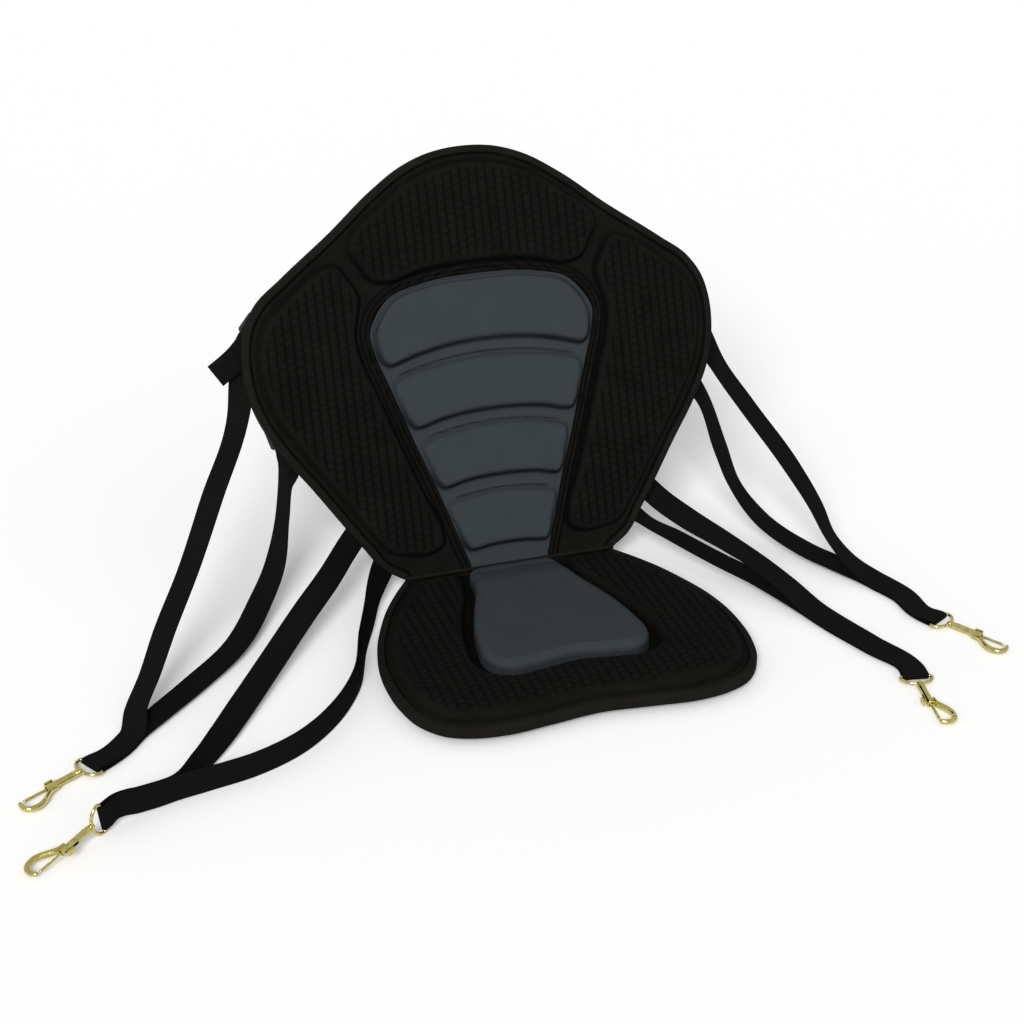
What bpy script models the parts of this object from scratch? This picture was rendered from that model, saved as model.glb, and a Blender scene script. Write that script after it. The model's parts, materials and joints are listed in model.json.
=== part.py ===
# A paddleboard seat: a moulded backrest and a moulded seat pad joined by a sewn fold.
# Four webbing straps hang from the backrest, each looped through the eye of a brass bolt snap.
# Metres, +Z up. The sitter looks along -Y. The origin is on the floor under the middle of the two
# panels; the numbers below are measured from the floor under the fold, and add_node moves them over.

import math

import bpy
import numpy as np

for thing in list(bpy.data.objects):
    bpy.data.objects.remove(thing, do_unlink=True)

MM = 0.001

# Driving sizes
RECLINE = math.radians(21)      # backrest leans back from upright
FOLD_HEIGHT = 22 * MM           # height of the fold's front line above the floor
FOLD_HALF = 107 * MM            # half the length of the sewn strip
FOLD_BEAD = 3.4 * MM            # how far its bead stands in front of the fold
FOLD_BEHIND_ORIGIN = 59.3 * MM  # from the origin back to the fold
FIT = 0.3 * MM                  # clearance between neighbouring pieces
LIP = 1.0 * MM                  # thickness of the edge binding
LIP_WIDTH = 7 * MM              # how far the binding reaches over each face
EDGE_ROOM = 1.5 * MM            # the panels stop this far inside the binding's outside

# Backrest layers, measured along the panel's front normal from the flange
BACK_SKIN = 5.8 * MM            # moulded front, without its raised pads
BACK_CORE = 5.2 * MM
BACK_COVER = 1.2 * MM
BACK_PAD_RISE = 8 * MM
BACK_RIM_RISE = 3 * MM
BACK_RECESS = 3.8 * MM          # depth of the recess that holds the grey panel

# Seat layers, measured up from the floor
SEAT_COVER = 2.3 * MM
SEAT_CORE = 6.0 * MM
SEAT_FLANGE = 17 * MM           # top of the flange
SEAT_PAD_TOP = 26 * MM
SEAT_RECESS = 13.5 * MM         # floor of the recess that holds the grey pad
SEAT_GREY_TOP = 30 * MM

# Webbing and ladder locks
WEBBING_WIDTH = 25 * MM
WEBBING_THICK = 1.4 * MM
LOCK_BAR = 2.6 * MM
LOCK_WIDTH = 32 * MM
LOCK_PITCH = 10 * MM            # from one bar of the ladder lock to the next
TURN_RADIUS = 0.75 * LOCK_BAR + FIT + WEBBING_THICK / 2
SEWN_LENGTH = 30 * MM
STRAP_STEP = 19 * MM            # spacing of the strap's cross-sections
JOINED_STEP = 12 * MM           # the same where two layers lie together
LAYER_SPREAD = 1.2 * MM         # from the middle of two layers to the middle of one

# Bolt snap, measured along its axis from the middle of the eye's straight bar
EYE_WIRE = 1.6 * MM
EYE_HALF_WIDTH = 15.2 * MM      # to the middle of the wire
EYE_CORNER = 1.9 * MM
EYE_DEPTH = 13 * MM
BOSS_END = 16 * MM
BARREL_START = BOSS_END + FIT
BARREL_END = 49.5 * MM
BARREL_RADIUS = 3.6 * MM
BORE_RADIUS = 2.35 * MM
PIN_RADIUS = 1.4 * MM
HOOK_REACH = 78 * MM            # middle of the hook's wire at its far end
HOOK_WIRE = 2.2 * MM
BOLT_RADIUS = 1.3 * MM
BOLT_TRAVEL = 8.5 * MM
KNOB_START = 39.5 * MM
KNOB_LENGTH = 8 * MM
KNOB_RISE = 4 * MM              # above the barrel
STEM_START = 41 * MM
STEM_LENGTH = 5 * MM
SLOT_ROOM = 0.5 * MM            # ahead of the stem and behind it when the hook is open
EYE_TURN = EYE_WIRE + FIT + WEBBING_THICK / 2

# Outlines in millimetres, right half only: backrest as (across, up), seat as (across, front)
BACK_OUTLINE = [(114, -1.2), (132, 11), (150, 36), (194, 102), (222, 143), (239, 175), (249, 215), (249, 245),
                (243, 270), (229, 292), (200, 315), (145, 355), (98, 392), (64, 413), (32, 424), (0, 427)]
TOP_PAD = [(0, 411), (32, 407), (62, 397), (100, 371), (126, 350), (131, 338), (122, 320), (110, 303),
           (97, 300), (60, 308), (0, 312)]
SIDE_PAD = [(147, 322), (165, 317), (197, 294), (221, 272), (232, 246), (232, 218), (224, 184), (203, 146),
            (165, 88), (136, 44), (122, 27), (104, 22), (80, 22), (69, 28), (68, 42), (82, 80), (100, 132),
            (119, 190), (131, 226), (134, 250), (129, 272), (126, 286), (134, 305)]
RIM_OUTER = [(0, 308), (60, 304), (98, 293), (118, 276), (128, 250), (125, 228), (113, 190), (94, 132),
             (75, 78), (57, 20), (51, 2)]
RIM_INNER = [(0, 299), (58, 296), (94, 285), (110, 268), (119, 249), (116, 230), (105, 196), (86, 137),
             (67, 79), (49, 21), (43, 0.3)]
LOBES = [
    [(0, 296), (54, 293), (90, 282), (106, 266), (113, 249), (110, 231), (103, 220), (94, 219), (55, 229), (0, 233)],
    [(0, 215), (48, 211), (90, 203), (98, 196), (93, 176), (86, 158), (77, 153), (42, 158), (0, 161)],
    [(0, 145), (38, 142), (68, 137), (76, 131), (71, 110), (63, 92), (55, 88), (28, 91), (0, 93)],
    [(0, 75), (30, 73), (50, 70), (56, 64), (49, 42), (42, 24), (34, 20), (0, 22)],
]
SEAT_OUTLINE = [(114, 1.2), (128, -19), (146, -49), (161, -82), (172, -112), (179, -145), (181, -178), (178, -214),
                (168, -247), (150, -269), (125, -280), (95, -284), (50, -280), (0, -275)]
SEAT_PAD = [(0, -8), (70, -8), (92, -9), (107, -16), (120, -36), (140, -75), (155, -112), (163, -150), (165, -180),
            (162, -210), (152, -238), (136, -256), (113, -265), (88, -268), (48, -265), (0, -260)]
SEAT_GREY = [(0, -5), (30, -5), (42, -6.5), (48, -13), (50, -32), (55, -55), (66, -86), (76, -118), (82, -150), (84, -174),
             (78, -192), (66, -202), (40, -201), (0, -195)]

# Looks: colour, roughness, metallic
FABRIC = ((0.012, 0.012, 0.011), 0.9, 0.0)
GREY = ((0.045, 0.055, 0.062), 0.85, 0.0)
FOAM = ((0.03, 0.03, 0.03), 0.95, 0.0)
WEBBING = ((0.010, 0.010, 0.010), 0.85, 0.0)
PLASTIC = ((0.015, 0.015, 0.015), 0.45, 0.0)
BRASS = ((0.75, 0.60, 0.22), 0.25, 1.0)
STEEL = ((0.55, 0.55, 0.55), 0.35, 1.0)


def add_node(name, verts, faces, look):
    colour, roughness, metallic = look
    mesh = bpy.data.meshes.new(name)
    placed = np.asarray(verts) + (0, FOLD_BEHIND_ORIGIN, 0)
    mesh.from_pydata([tuple(v) for v in placed], [], faces)
    mesh.update()
    node = bpy.data.objects.new(name, mesh)
    bpy.context.scene.collection.objects.link(node)
    finish = bpy.data.materials.new(name + "_finish")
    finish.use_nodes = True
    shader = finish.node_tree.nodes["Principled BSDF"]
    shader.inputs["Base Color"].default_value = (*colour, 1)
    shader.inputs["Roughness"].default_value = roughness
    shader.inputs["Metallic"].default_value = metallic
    mesh.materials.append(finish)
    face_outwards(node)
    return node


def combine(node, tool, operation):
    # Joins the tool to the node, or cuts the node with it, and takes the tool away.
    step = node.modifiers.new("step", "BOOLEAN")
    step.operation = operation
    step.solver = "EXACT"
    step.object = tool
    graph = bpy.context.evaluated_depsgraph_get()
    shaped = bpy.data.meshes.new_from_object(node.evaluated_get(graph))
    node.modifiers.clear()
    node.data = shaped
    bpy.data.objects.remove(tool, do_unlink=True)
    return node


def on_back(points):
    # Panel coordinates (across, up the panel, out of its front) to the world.
    across, up, out = np.moveaxis(np.asarray(points, float), -1, 0)
    y = up * math.sin(RECLINE) - out * math.cos(RECLINE)
    z = FOLD_HEIGHT + up * math.cos(RECLINE) + out * math.sin(RECLINE)
    return np.stack([across, y, z], -1)


def on_seat(points):
    return np.asarray(points, float)


def curve_through(points, count, closed=False, measured=3, part=None):
    # A smooth curve through the points, stepped evenly. Its length is measured over the first columns.
    # part gives the first and last point of a stretch, when only that is wanted.
    points = np.asarray(points, float)
    if closed:
        run = np.vstack([points[-1:], points, points[:2]])
    else:
        run = np.vstack([2 * points[0] - points[1], points, 2 * points[-1] - points[-2]])
    spans = np.linalg.norm(np.diff(run[:, :measured], axis=0), axis=1)[:, None]
    slopes = np.diff(run, axis=0) / spans
    tangents = (slopes[:-1] * spans[1:] + slopes[1:] * spans[:-1]) / (spans[1:] + spans[:-1])
    t = np.linspace(0, 1, 16, endpoint=False)[:, None]
    pieces = []
    for start, end, leave, arrive, span in zip(run[1:-2], run[2:-1], tangents, tangents[1:], spans[1:]):
        straight = (2 * t**3 - 3 * t**2 + 1) * start + (3 * t**2 - 2 * t**3) * end
        bent = (t**3 - 2 * t**2 + t) * leave * span + (t**3 - t**2) * arrive * span
        pieces.append(straight + bent)
    fine = np.vstack(pieces + [run[-2:-1]])
    if part:
        fine = fine[len(t) * part[0]:len(t) * part[1] + 1]
    along = np.concatenate([[0], np.cumsum(np.linalg.norm(np.diff(fine[:, :measured], axis=0), axis=1))])
    steps = np.linspace(0, along[-1], count, endpoint=not closed)
    return np.stack([np.interp(steps, along, column) for column in fine.T], 1)


def mirrored(right_half):
    # Both halves of an outline whose ends lie on the centre line, in metres.
    right = np.array(right_half, float) * MM
    left = right[::-1] * (-1, 1)
    return np.vstack([right, left[1:-1]])


def across_centre(right_half):
    # An open outline from the right fold corner over the middle to the left fold corner.
    right = np.array(right_half, float) * MM
    left = right[::-1] * (-1, 1)
    return np.vstack([right, left[1:]])


def turned_left(loop):
    area = np.sum(loop[:, 0] * np.roll(loop[:, 1], -1) - np.roll(loop[:, 0], -1) * loop[:, 1])
    return loop if area > 0 else loop[::-1]


def inset(loop, distance):
    # Moves each side of a closed loop inwards by the distance.
    edges = np.roll(loop, -1, axis=0) - loop
    normals = np.stack([-edges[:, 1], edges[:, 0]], 1) / np.linalg.norm(edges, axis=1)[:, None]
    before = np.roll(normals, 1, axis=0)
    meeting = (normals + before) / (1 + np.sum(normals * before, axis=1))[:, None]
    return loop + distance * meeting


def with_height(loop, height):
    height = height(loop) if callable(height) else np.full(len(loop), height)
    return np.column_stack([loop, height])


def stack_rings(name, rings, place, look):
    # A closed solid whose skin runs from the first ring to the last, both capped.
    count = len(rings[0])
    faces = [tuple(reversed(range(count)))]
    for level in range(len(rings) - 1):
        low, high = level * count, (level + 1) * count
        faces += [(low + i, low + (i + 1) % count, high + (i + 1) % count, high + i) for i in range(count)]
    faces.append(tuple(range((len(rings) - 1) * count, len(rings) * count)))
    return add_node(name, place(np.vstack(rings)), faces, look)


def plate(name, loop, low, high, place, look):
    loop = turned_left(loop)
    return stack_rings(name, [with_height(loop, low), with_height(loop, high)], place, look)


def pillow(name, loop, low, top, edge, drop, place, look, steps=3):
    # A raised shape with a rounded shoulder: edge is its width, drop is its height.
    loop = turned_left(loop)
    rings = [with_height(loop, low)]
    for turn in np.linspace(0, math.pi / 2, steps + 1):
        ring = with_height(inset(loop, edge * (1 - math.cos(turn))), top)
        ring[:, 2] -= drop * (1 - math.sin(turn))
        rings.append(ring)
    return stack_rings(name, rings, place, look)


def edge_binding(name, path, low, high, place, look):
    # A C-shaped tape folded over the panel's edge, from one fold corner round to the other.
    outside = low - FIT - LIP, high + FIT + LIP
    inner = EDGE_ROOM - FIT
    section = [
        (LIP_WIDTH, high + FIT), (LIP_WIDTH - 1 * MM, outside[1]), (1.8 * MM, outside[1]), (0, outside[1] - 2 * MM),
        (0, outside[0] + 2 * MM), (1.8 * MM, outside[0]), (LIP_WIDTH, outside[0]), (LIP_WIDTH, low - FIT),
        (inner, low - FIT), (inner, high + FIT),
    ]
    along = np.gradient(path, axis=0)
    inward = np.stack([-along[:, 1], along[:, 0]], 1) / np.linalg.norm(along, axis=1)[:, None]
    rows = []
    for reach, height in section:
        rows.append(np.column_stack([path + inward * reach, np.full(len(path), height)]))
    return sweep_faces(name, np.stack(rows, 1), place, look)


def sweep_faces(name, grid, place, look, closed=False):
    # grid is (stations, corners, 3): skins the stations, with flat ends unless it is closed.
    stations, corners = grid.shape[:2]
    faces = []
    for i in range(stations if closed else stations - 1):
        near, far = i * corners, (i + 1) % stations * corners
        faces += [(near + k, near + (k + 1) % corners, far + (k + 1) % corners, far + k) for k in range(corners)]
    if not closed:
        faces.append(tuple(reversed(range(corners))))
        faces.append(tuple(range((stations - 1) * corners, stations * corners)))
    return add_node(name, place(grid.reshape(-1, 3)), faces, look)


def face_outwards(node):
    # Turns the skin over when its enclosed volume comes out negative.
    mesh = node.data
    mesh.calc_loop_triangles()
    points = np.array([v.co for v in mesh.vertices])
    corners = points[np.array([t.vertices for t in mesh.loop_triangles])]
    volume = np.sum(corners[:, 0] * np.cross(corners[:, 1], corners[:, 2]))
    if volume < 0:
        mesh.flip_normals()


def box(name, low, high, place, look):
    x0, y0, z0 = low
    x1, y1, z1 = high
    loop = np.array([(x0, y0), (x1, y0), (x1, y1), (x0, y1)])
    return plate(name, loop, z0, z1, place, look)


def unit(vector):
    return np.asarray(vector, float) / np.linalg.norm(vector)


def tube(name, centres, radii, sides, place, look, closed=False, start=(0, 0, 1)):
    # A round bar along the centres; start is a direction that is not along it.
    centres = np.asarray(centres, float)
    if closed:
        along = np.roll(centres, -1, axis=0) - np.roll(centres, 1, axis=0)
    else:
        along = np.gradient(centres, axis=0)
    along /= np.linalg.norm(along, axis=1)[:, None]
    turns = np.arange(sides) * 2 * math.pi / sides
    side = np.array(start, float)
    rings = []
    for centre, ahead, radius in zip(centres, along, np.broadcast_to(radii, len(centres))):
        side = unit(side - ahead * np.dot(side, ahead))
        rings.append(centre + radius * (np.outer(np.cos(turns), side) + np.outer(np.sin(turns), np.cross(ahead, side))))
    return sweep_faces(name, np.stack(rings), place, look, closed)


def turned_part(name, profile, sides, place, look):
    # Turns a profile of (along, radius) about the axis: a ring if it never touches the axis.
    turns = np.arange(sides) * 2 * math.pi / sides
    rings = []
    for turn in turns:
        rings.append([(along, radius * math.cos(turn), radius * math.sin(turn)) for along, radius in profile])
    return sweep_faces(name, np.array(rings), place, look, closed=True)


# The backrest

def build_backrest():
    outline = turned_left(curve_through(across_centre(BACK_OUTLINE), 59))
    panel = inset(outline, EDGE_ROOM)
    skin_back = -BACK_SKIN
    core_front = skin_back - FIT
    core_back = core_front - BACK_CORE
    cover_front = core_back - FIT
    cover_back = cover_front - BACK_COVER
    build_backrest_shell(panel, skin_back)
    plate("backrest_foam_core", panel, core_back, core_front, on_back, FOAM)
    plate("backrest_rear_cover", panel, cover_back, cover_front, on_back, FABRIC)
    edge_binding("backrest_edge_binding", outline, cover_back, 0, on_back, FABRIC)
    build_backrest_centre_pad()
    return cover_back


def build_backrest_shell(panel, skin_back):
    # The moulded front: flange, three raised pads, the rim, and the recess inside the rim.
    shell = plate("backrest_shell", panel, skin_back, 0, on_back, FABRIC)
    rooted = -2 * MM
    rim = pillow("rim", arch(RIM_OUTER, 37), rooted, BACK_RIM_RISE, 3 * MM, 2 * MM, on_back, FABRIC, 2)
    combine(shell, rim, "UNION")
    top = curve_through(mirrored(TOP_PAD), 36, True)
    combine(shell, pillow("pad", top, rooted, BACK_PAD_RISE, 7 * MM, 6 * MM, on_back, FABRIC, 2), "UNION")
    for side in (1, -1):
        loop = curve_through(np.array(SIDE_PAD) * (side * MM, MM), 40, True)
        combine(shell, pillow("pad", loop, rooted, BACK_PAD_RISE, 7 * MM, 6 * MM, on_back, FABRIC, 2), "UNION")
    recess = np.vstack([arch(RIM_INNER, 35), [(-43 * MM, -9 * MM), (43 * MM, -9 * MM)]])
    combine(shell, plate("recess", recess, -BACK_RECESS, 20 * MM, on_back, FABRIC), "DIFFERENCE")


def arch(right_half, count, gap=0.0):
    # An open line from the right fold corner over the top to the left one, moved inwards by the gap.
    right = np.array(right_half, float) * MM
    path = curve_through(np.vstack([right[::-1], right[1:] * (-1, 1)]), count)
    along = np.gradient(path, axis=0)
    inward = np.stack([-along[:, 1], along[:, 0]], 1) / np.linalg.norm(along, axis=1)[:, None]
    return path + inward * gap


def build_backrest_centre_pad():
    # Grey panel with four raised lobes; each lobe is thin at its top and full at its lower edge.
    base_top = -0.6 * MM
    grey = plate("backrest_centre_pad", arch(RIM_INNER, 35, FIT), -BACK_RECESS + FIT, base_top, on_back, GREY)
    for lobe in LOBES:
        heights = [up * MM for across, up in lobe]
        top, bottom = max(heights), min(heights)

        def slope(loop, top=top, bottom=bottom):
            return (4 + 6 * (top - loop[:, 1]) / (top - bottom)) * MM

        loop = curve_through(mirrored(lobe), 28, True)
        combine(grey, pillow("lobe", loop, -2 * MM, slope, 6 * MM, 4 * MM, on_back, GREY, 2), "UNION")


# The seat

def build_seat():
    outline = turned_left(curve_through(across_centre(SEAT_OUTLINE), 49))
    panel = inset(outline, EDGE_ROOM)
    margin = FIT + LIP
    middle = inset(outline, LIP_WIDTH + 2 * FIT)
    underside = [with_height(middle, 0), with_height(middle, margin), with_height(panel, margin),
                 with_height(panel, SEAT_COVER)]
    stack_rings("seat_underside_cover", underside, on_seat, FABRIC)
    core_low = SEAT_COVER + FIT
    core_top = core_low + SEAT_CORE
    plate("seat_foam_core", panel, core_low, core_top, on_seat, FOAM)
    build_seat_shell(panel, core_top + FIT)
    edge_binding("seat_edge_binding", outline, margin, SEAT_FLANGE, on_seat, FABRIC)
    grey = curve_through(mirrored(SEAT_GREY), 40, True)
    pillow("seat_centre_pad", grey, SEAT_RECESS + FIT, SEAT_GREY_TOP, 10 * MM, 9 * MM, on_seat, GREY)


def build_seat_shell(panel, low):
    # The moulded top: flange, the raised U round the grey pad, and the recess for the pad.
    shell = plate("seat_shell", panel, low, SEAT_FLANGE, on_seat, FABRIC)
    raised = curve_through(mirrored(SEAT_PAD), 48, True)
    combine(shell, pillow("pad", raised, SEAT_FLANGE - 2 * MM, SEAT_PAD_TOP, 14 * MM, 8 * MM, on_seat, FABRIC), "UNION")
    grey = turned_left(curve_through(mirrored(SEAT_GREY), 40, True))
    recess = [with_height(inset(grey, -2 * MM), SEAT_RECESS), with_height(inset(grey, -4 * MM), SEAT_FLANGE + 3 * MM),
              with_height(inset(grey, -9 * MM), SEAT_PAD_TOP + 2 * MM)]
    combine(shell, stack_rings("recess", recess, on_seat, FABRIC), "DIFFERENCE")


def build_fold(cover_back):
    # The sewn strip that joins the panels: a bead on the front line, a web between the panels,
    # and one tail up the back of the backrest and one down the rear of the seat.
    web = 1.2 * MM
    behind = cover_back - FIT
    top_front, top_rear, foot_front, foot_rear, lead_top, lead_low = on_back([
        (0, 20 * MM, behind), (0, 20 * MM, behind - web), (0, -FIT, behind), (0, -FIT - web, behind - web),
        (0, -FIT, 0), (0, -FIT - web, 0)])
    section = [
        top_front[1:], foot_front[1:], lead_top[1:], (-1.6 * MM, FOLD_HEIGHT + 1.2 * MM),
        (-FOLD_BEAD, FOLD_HEIGHT - 0.2 * MM), (-FOLD_BEAD, FOLD_HEIGHT - 1.8 * MM),
        (1.2 * MM - FOLD_BEAD, FOLD_HEIGHT - 2.8 * MM), (0, FOLD_HEIGHT - 3 * MM), (0, 1 * MM), (web, 1 * MM),
        (web, lead_low[2] - 0.7 * MM), foot_rear[1:], top_rear[1:],
    ]
    ends = [[(x, y, z) for y, z in section] for x in (-FOLD_HALF, FOLD_HALF)]
    sweep_faces("fold_strip", np.array(ends), on_seat, FABRIC)


# Webbing straps, ladder locks and their tabs

class PanelSpot:
    # A place on the rear of the backrest, in mm, and the heading in which webbing leaves it.
    # Webbing runs in two levels behind the panel: near it, and beyond the bar it turns round.
    def __init__(self, across, up, heading):
        heading = math.radians(heading)
        cover_back = BACK_SKIN + BACK_CORE + BACK_COVER + 2 * FIT
        self.near = -(cover_back + LIP + 2 * FIT + WEBBING_THICK / 2)
        self.middle = self.near - TURN_RADIUS
        self.far = self.middle - TURN_RADIUS
        self.base = np.array([across * MM, up * MM])
        self.ahead = np.array([math.cos(heading), math.sin(heading)])
        self.aside = np.array([-math.sin(heading), math.cos(heading)])

    def at(self, along, level, aside=0.0):
        spot = self.base + along * self.ahead + aside * self.aside
        return on_back((spot[0], spot[1], level))

    def direction(self, along, aside, front):
        flat = along * self.ahead + aside * self.aside
        return on_back((flat[0], flat[1], front)) - on_back((0, 0, 0))


def ladder_lock(name, spot):
    # A plastic frame with three bars: the tab holds the first, the strap turns round the second.
    def place(points):
        return np.array([spot.at(along, spot.middle + level, aside) for along, aside, level in np.asarray(points)])

    half = LOCK_WIDTH / 2
    end = LOCK_PITCH + LOCK_BAR / 2
    corner = 2 * MM
    quarter = [(end, half - corner), (end - corner, half), (corner - end, half), (-end, half - corner)]
    loop = np.array(quarter + [(-along, -aside) for along, aside in quarter])
    frame = plate(name, loop, -LOCK_BAR / 2, LOCK_BAR / 2, place, PLASTIC)
    window = WEBBING_WIDTH / 2 + 2 * FIT
    for start in (-LOCK_PITCH + LOCK_BAR / 2, LOCK_BAR / 2):
        stop = start + LOCK_PITCH - LOCK_BAR
        slot = box("slot", (start, -window, -LOCK_BAR), (stop, window, LOCK_BAR), place, PLASTIC)
        combine(frame, slot, "DIFFERENCE")
    return frame


def half_turn(centre, first, bulge, radius, steps=5):
    # Points round a bar, from the side of first to the opposite side, by way of bulge.
    turns = np.linspace(0, math.pi, steps + 1)
    return [centre + radius * (math.cos(turn) * first + math.sin(turn) * bulge) for turn in turns]


def lock_tab(name, spot):
    # A folded tab of webbing, sewn to the rear cover, that holds the lock's first bar.
    bar = -LOCK_PITCH
    upper = spot.near - WEBBING_THICK - FIT
    out_run = [spot.at(bar - along * MM, spot.near) for along in (SEWN_LENGTH / MM, 14, 4)]
    turn = half_turn(spot.at(bar, spot.middle), spot.direction(0, 0, 1), spot.direction(1, 0, 0), TURN_RADIUS)
    back_run = [spot.at(bar - 5 * MM, spot.far + 0.4 * MM), spot.at(bar - 15 * MM, upper),
                spot.at(bar - SEWN_LENGTH + 3 * MM, upper)]
    centres = out_run + turn + back_run
    return ribbon(name, centres, [spot.direction(0, 1, 0)] * len(centres), WEBBING)


def lock_end(spot, tail):
    # The strap from its loose tail under the outer bar, round the middle bar and out over the top.
    # tail lists (along, away from the panel, aside) in mm, from the cut end inwards.
    centres = [spot.at(along * MM, spot.near - away * MM, aside * MM) for along, away, aside in tail]
    centres += [spot.at(LOCK_PITCH + 6 * MM, spot.near), spot.at(0, spot.near)]
    centres += half_turn(spot.at(0, spot.middle), spot.direction(0, 0, 1), spot.direction(-1, 0, 0), TURN_RADIUS, 4)[1:]
    centres += [spot.at(LOCK_PITCH + 4 * MM, spot.far)]
    return np.array(centres), spot.direction(0, 1, 0)


def sewn_end(spot):
    # The strap's end lying flat on the rear cover, where it is sewn down.
    return np.array([spot.at(along * MM, spot.near) for along in (-36, -24, -12, 0)]), spot.direction(0, 1, 0)


def width_direction(heading, tilt):
    heading, tilt = math.radians(heading), math.radians(tilt)
    return np.array([math.cos(heading) * math.cos(tilt), math.sin(heading) * math.cos(tilt), math.sin(tilt)])


def stations(route):
    # A route's places in metres and its width directions, one row each.
    return np.array([np.append(np.array(stop[:3]) * MM, width_direction(*stop[3:])) for stop in route])


def build_strap(name, upper_end, upper_route, lower_end, lower_route, joined_route, snap):
    # One length of webbing: from its lower end to the eye, round the eye's bar, and back to its upper end.
    upper, lower, joined = stations(upper_route), stations(lower_route), stations(joined_route)
    eye_width = snap.bar * math.copysign(1, np.dot(snap.bar, joined[-1, 3:]))
    close = [np.append(snap.eye - snap.ahead * along, eye_width) for along in (16 * MM, 5 * MM, 0)]
    guide = np.vstack([(upper[-1] + lower[-1]) / 2, joined, close])
    reach = np.sum(np.linalg.norm(np.diff(guide[1:-1, :3], axis=0), axis=1))
    middle = curve_through(guide, round(reach / JOINED_STEP) + 2, part=(1, len(guide) - 2))
    normals = np.cross(np.gradient(middle[:, :3], axis=0), middle[:, 3:])
    normals /= np.linalg.norm(normals, axis=1)[:, None]
    side = math.copysign(1, np.dot(upper[-1, :3] - lower[-1, :3], normals[0]))
    to_eye = np.linalg.norm(middle[:, :3] - snap.eye, axis=1)
    spread = np.interp(to_eye, [5 * MM, 20 * MM], [EYE_TURN, LAYER_SPREAD]) * side
    shift = np.column_stack([normals * spread[:, None], np.zeros((len(middle), 3))])
    down = strap_half(lower_end, lower, middle - shift)
    back = strap_half(upper_end, upper, middle + shift)
    eye_normal = unit(np.cross(snap.ahead, eye_width))
    turn = np.array(half_turn(snap.eye, -side * eye_normal, snap.ahead, EYE_TURN, 6))
    centres = np.vstack([down[:, :3], turn, back[::-1, :3]])
    widths = np.vstack([down[:, 3:], [eye_width] * len(turn), back[::-1, 3:]])
    return ribbon(name, centres, widths, WEBBING)


def strap_half(end, free, joined):
    # The fixed end as it is, a smooth run through the free stations, and the stretch beside the other layer.
    end_centres, end_width = end
    if np.dot(end_width, free[0, 3:]) < 0:
        end_width = -end_width
    fixed = np.column_stack([end_centres, [end_width] * len(end_centres)])
    through = np.vstack([fixed[-1:], free, joined[:2]])
    last = len(free) + 1
    length = np.sum(np.linalg.norm(np.diff(through[:last + 1, :3], axis=0), axis=1))
    free_run = curve_through(through, round(length / STRAP_STEP) + 1, part=(0, last))
    return np.vstack([fixed, free_run[1:-1], joined])


def ribbon(name, centres, widths, look):
    # Flat webbing along the centres, with its width square to them and near the directions given.
    # Both faces are split along the same diagonal, so that a twisted stretch keeps its thickness.
    centres, widths = np.array(centres), np.array(widths)
    along = np.gradient(centres, axis=0)
    along /= np.linalg.norm(along, axis=1)[:, None]
    widths = widths - along * np.sum(along * widths, axis=1)[:, None]
    widths /= np.linalg.norm(widths, axis=1)[:, None]
    across = widths * WEBBING_WIDTH / 2
    thick = np.cross(along, widths) * WEBBING_THICK / 2
    corners = [centres + across + thick, centres - across + thick, centres - across - thick, centres + across - thick]
    faces = [(3, 2, 1, 0)]
    for n in range(0, 4 * len(centres) - 4, 4):
        f = n + 4
        faces += [(n, n + 1, f + 1), (n, f + 1, f), (n + 2, n + 3, f + 2), (n + 3, f + 3, f + 2),
                  (n + 1, n + 2, f + 2, f + 1), (n + 3, n, f, f + 3)]
    faces.append(tuple(4 * len(centres) - 4 + k for k in range(4)))
    return add_node(name, np.stack(corners, 1).reshape(-1, 3), faces, look)


# Bolt snaps

class Snap:
    # eye: the middle of the eye's bar in mm. heading and dip: where the snap points, in degrees.
    # eye_roll turns the eye about the axis. side is 1 when the hook bulges left of the heading, -1 right.
    def __init__(self, eye, heading, dip, eye_roll, side):
        heading, dip, roll = math.radians(heading), math.radians(dip), math.radians(eye_roll)
        self.eye = np.array(eye) * MM
        self.ahead = np.array([math.cos(heading) * math.cos(dip), math.sin(heading) * math.cos(dip), -math.sin(dip)])
        left = np.array([-math.sin(heading), math.cos(heading), 0])
        up = np.cross(self.ahead, left)
        self.bar = math.cos(roll) * left + math.sin(roll) * up
        self.body_frame = np.array([self.ahead, left * side, up])
        self.eye_frame = np.array([self.ahead, self.bar, np.cross(self.ahead, self.bar)])

    def on_body(self, points):
        return self.eye + np.asarray(points) @ self.body_frame

    def on_eye(self, points):
        return self.eye + np.asarray(points) @ self.eye_frame


def build_snap(name, snap):
    build_snap_eye(name + "_eye", snap)
    build_snap_body(name + "_body", snap)
    build_snap_bolt(name + "_bolt", snap)
    build_snap_spring(name + "_spring", snap)


def on_axis(distances):
    return [(along * MM, 0, 0) for along in distances]


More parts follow.
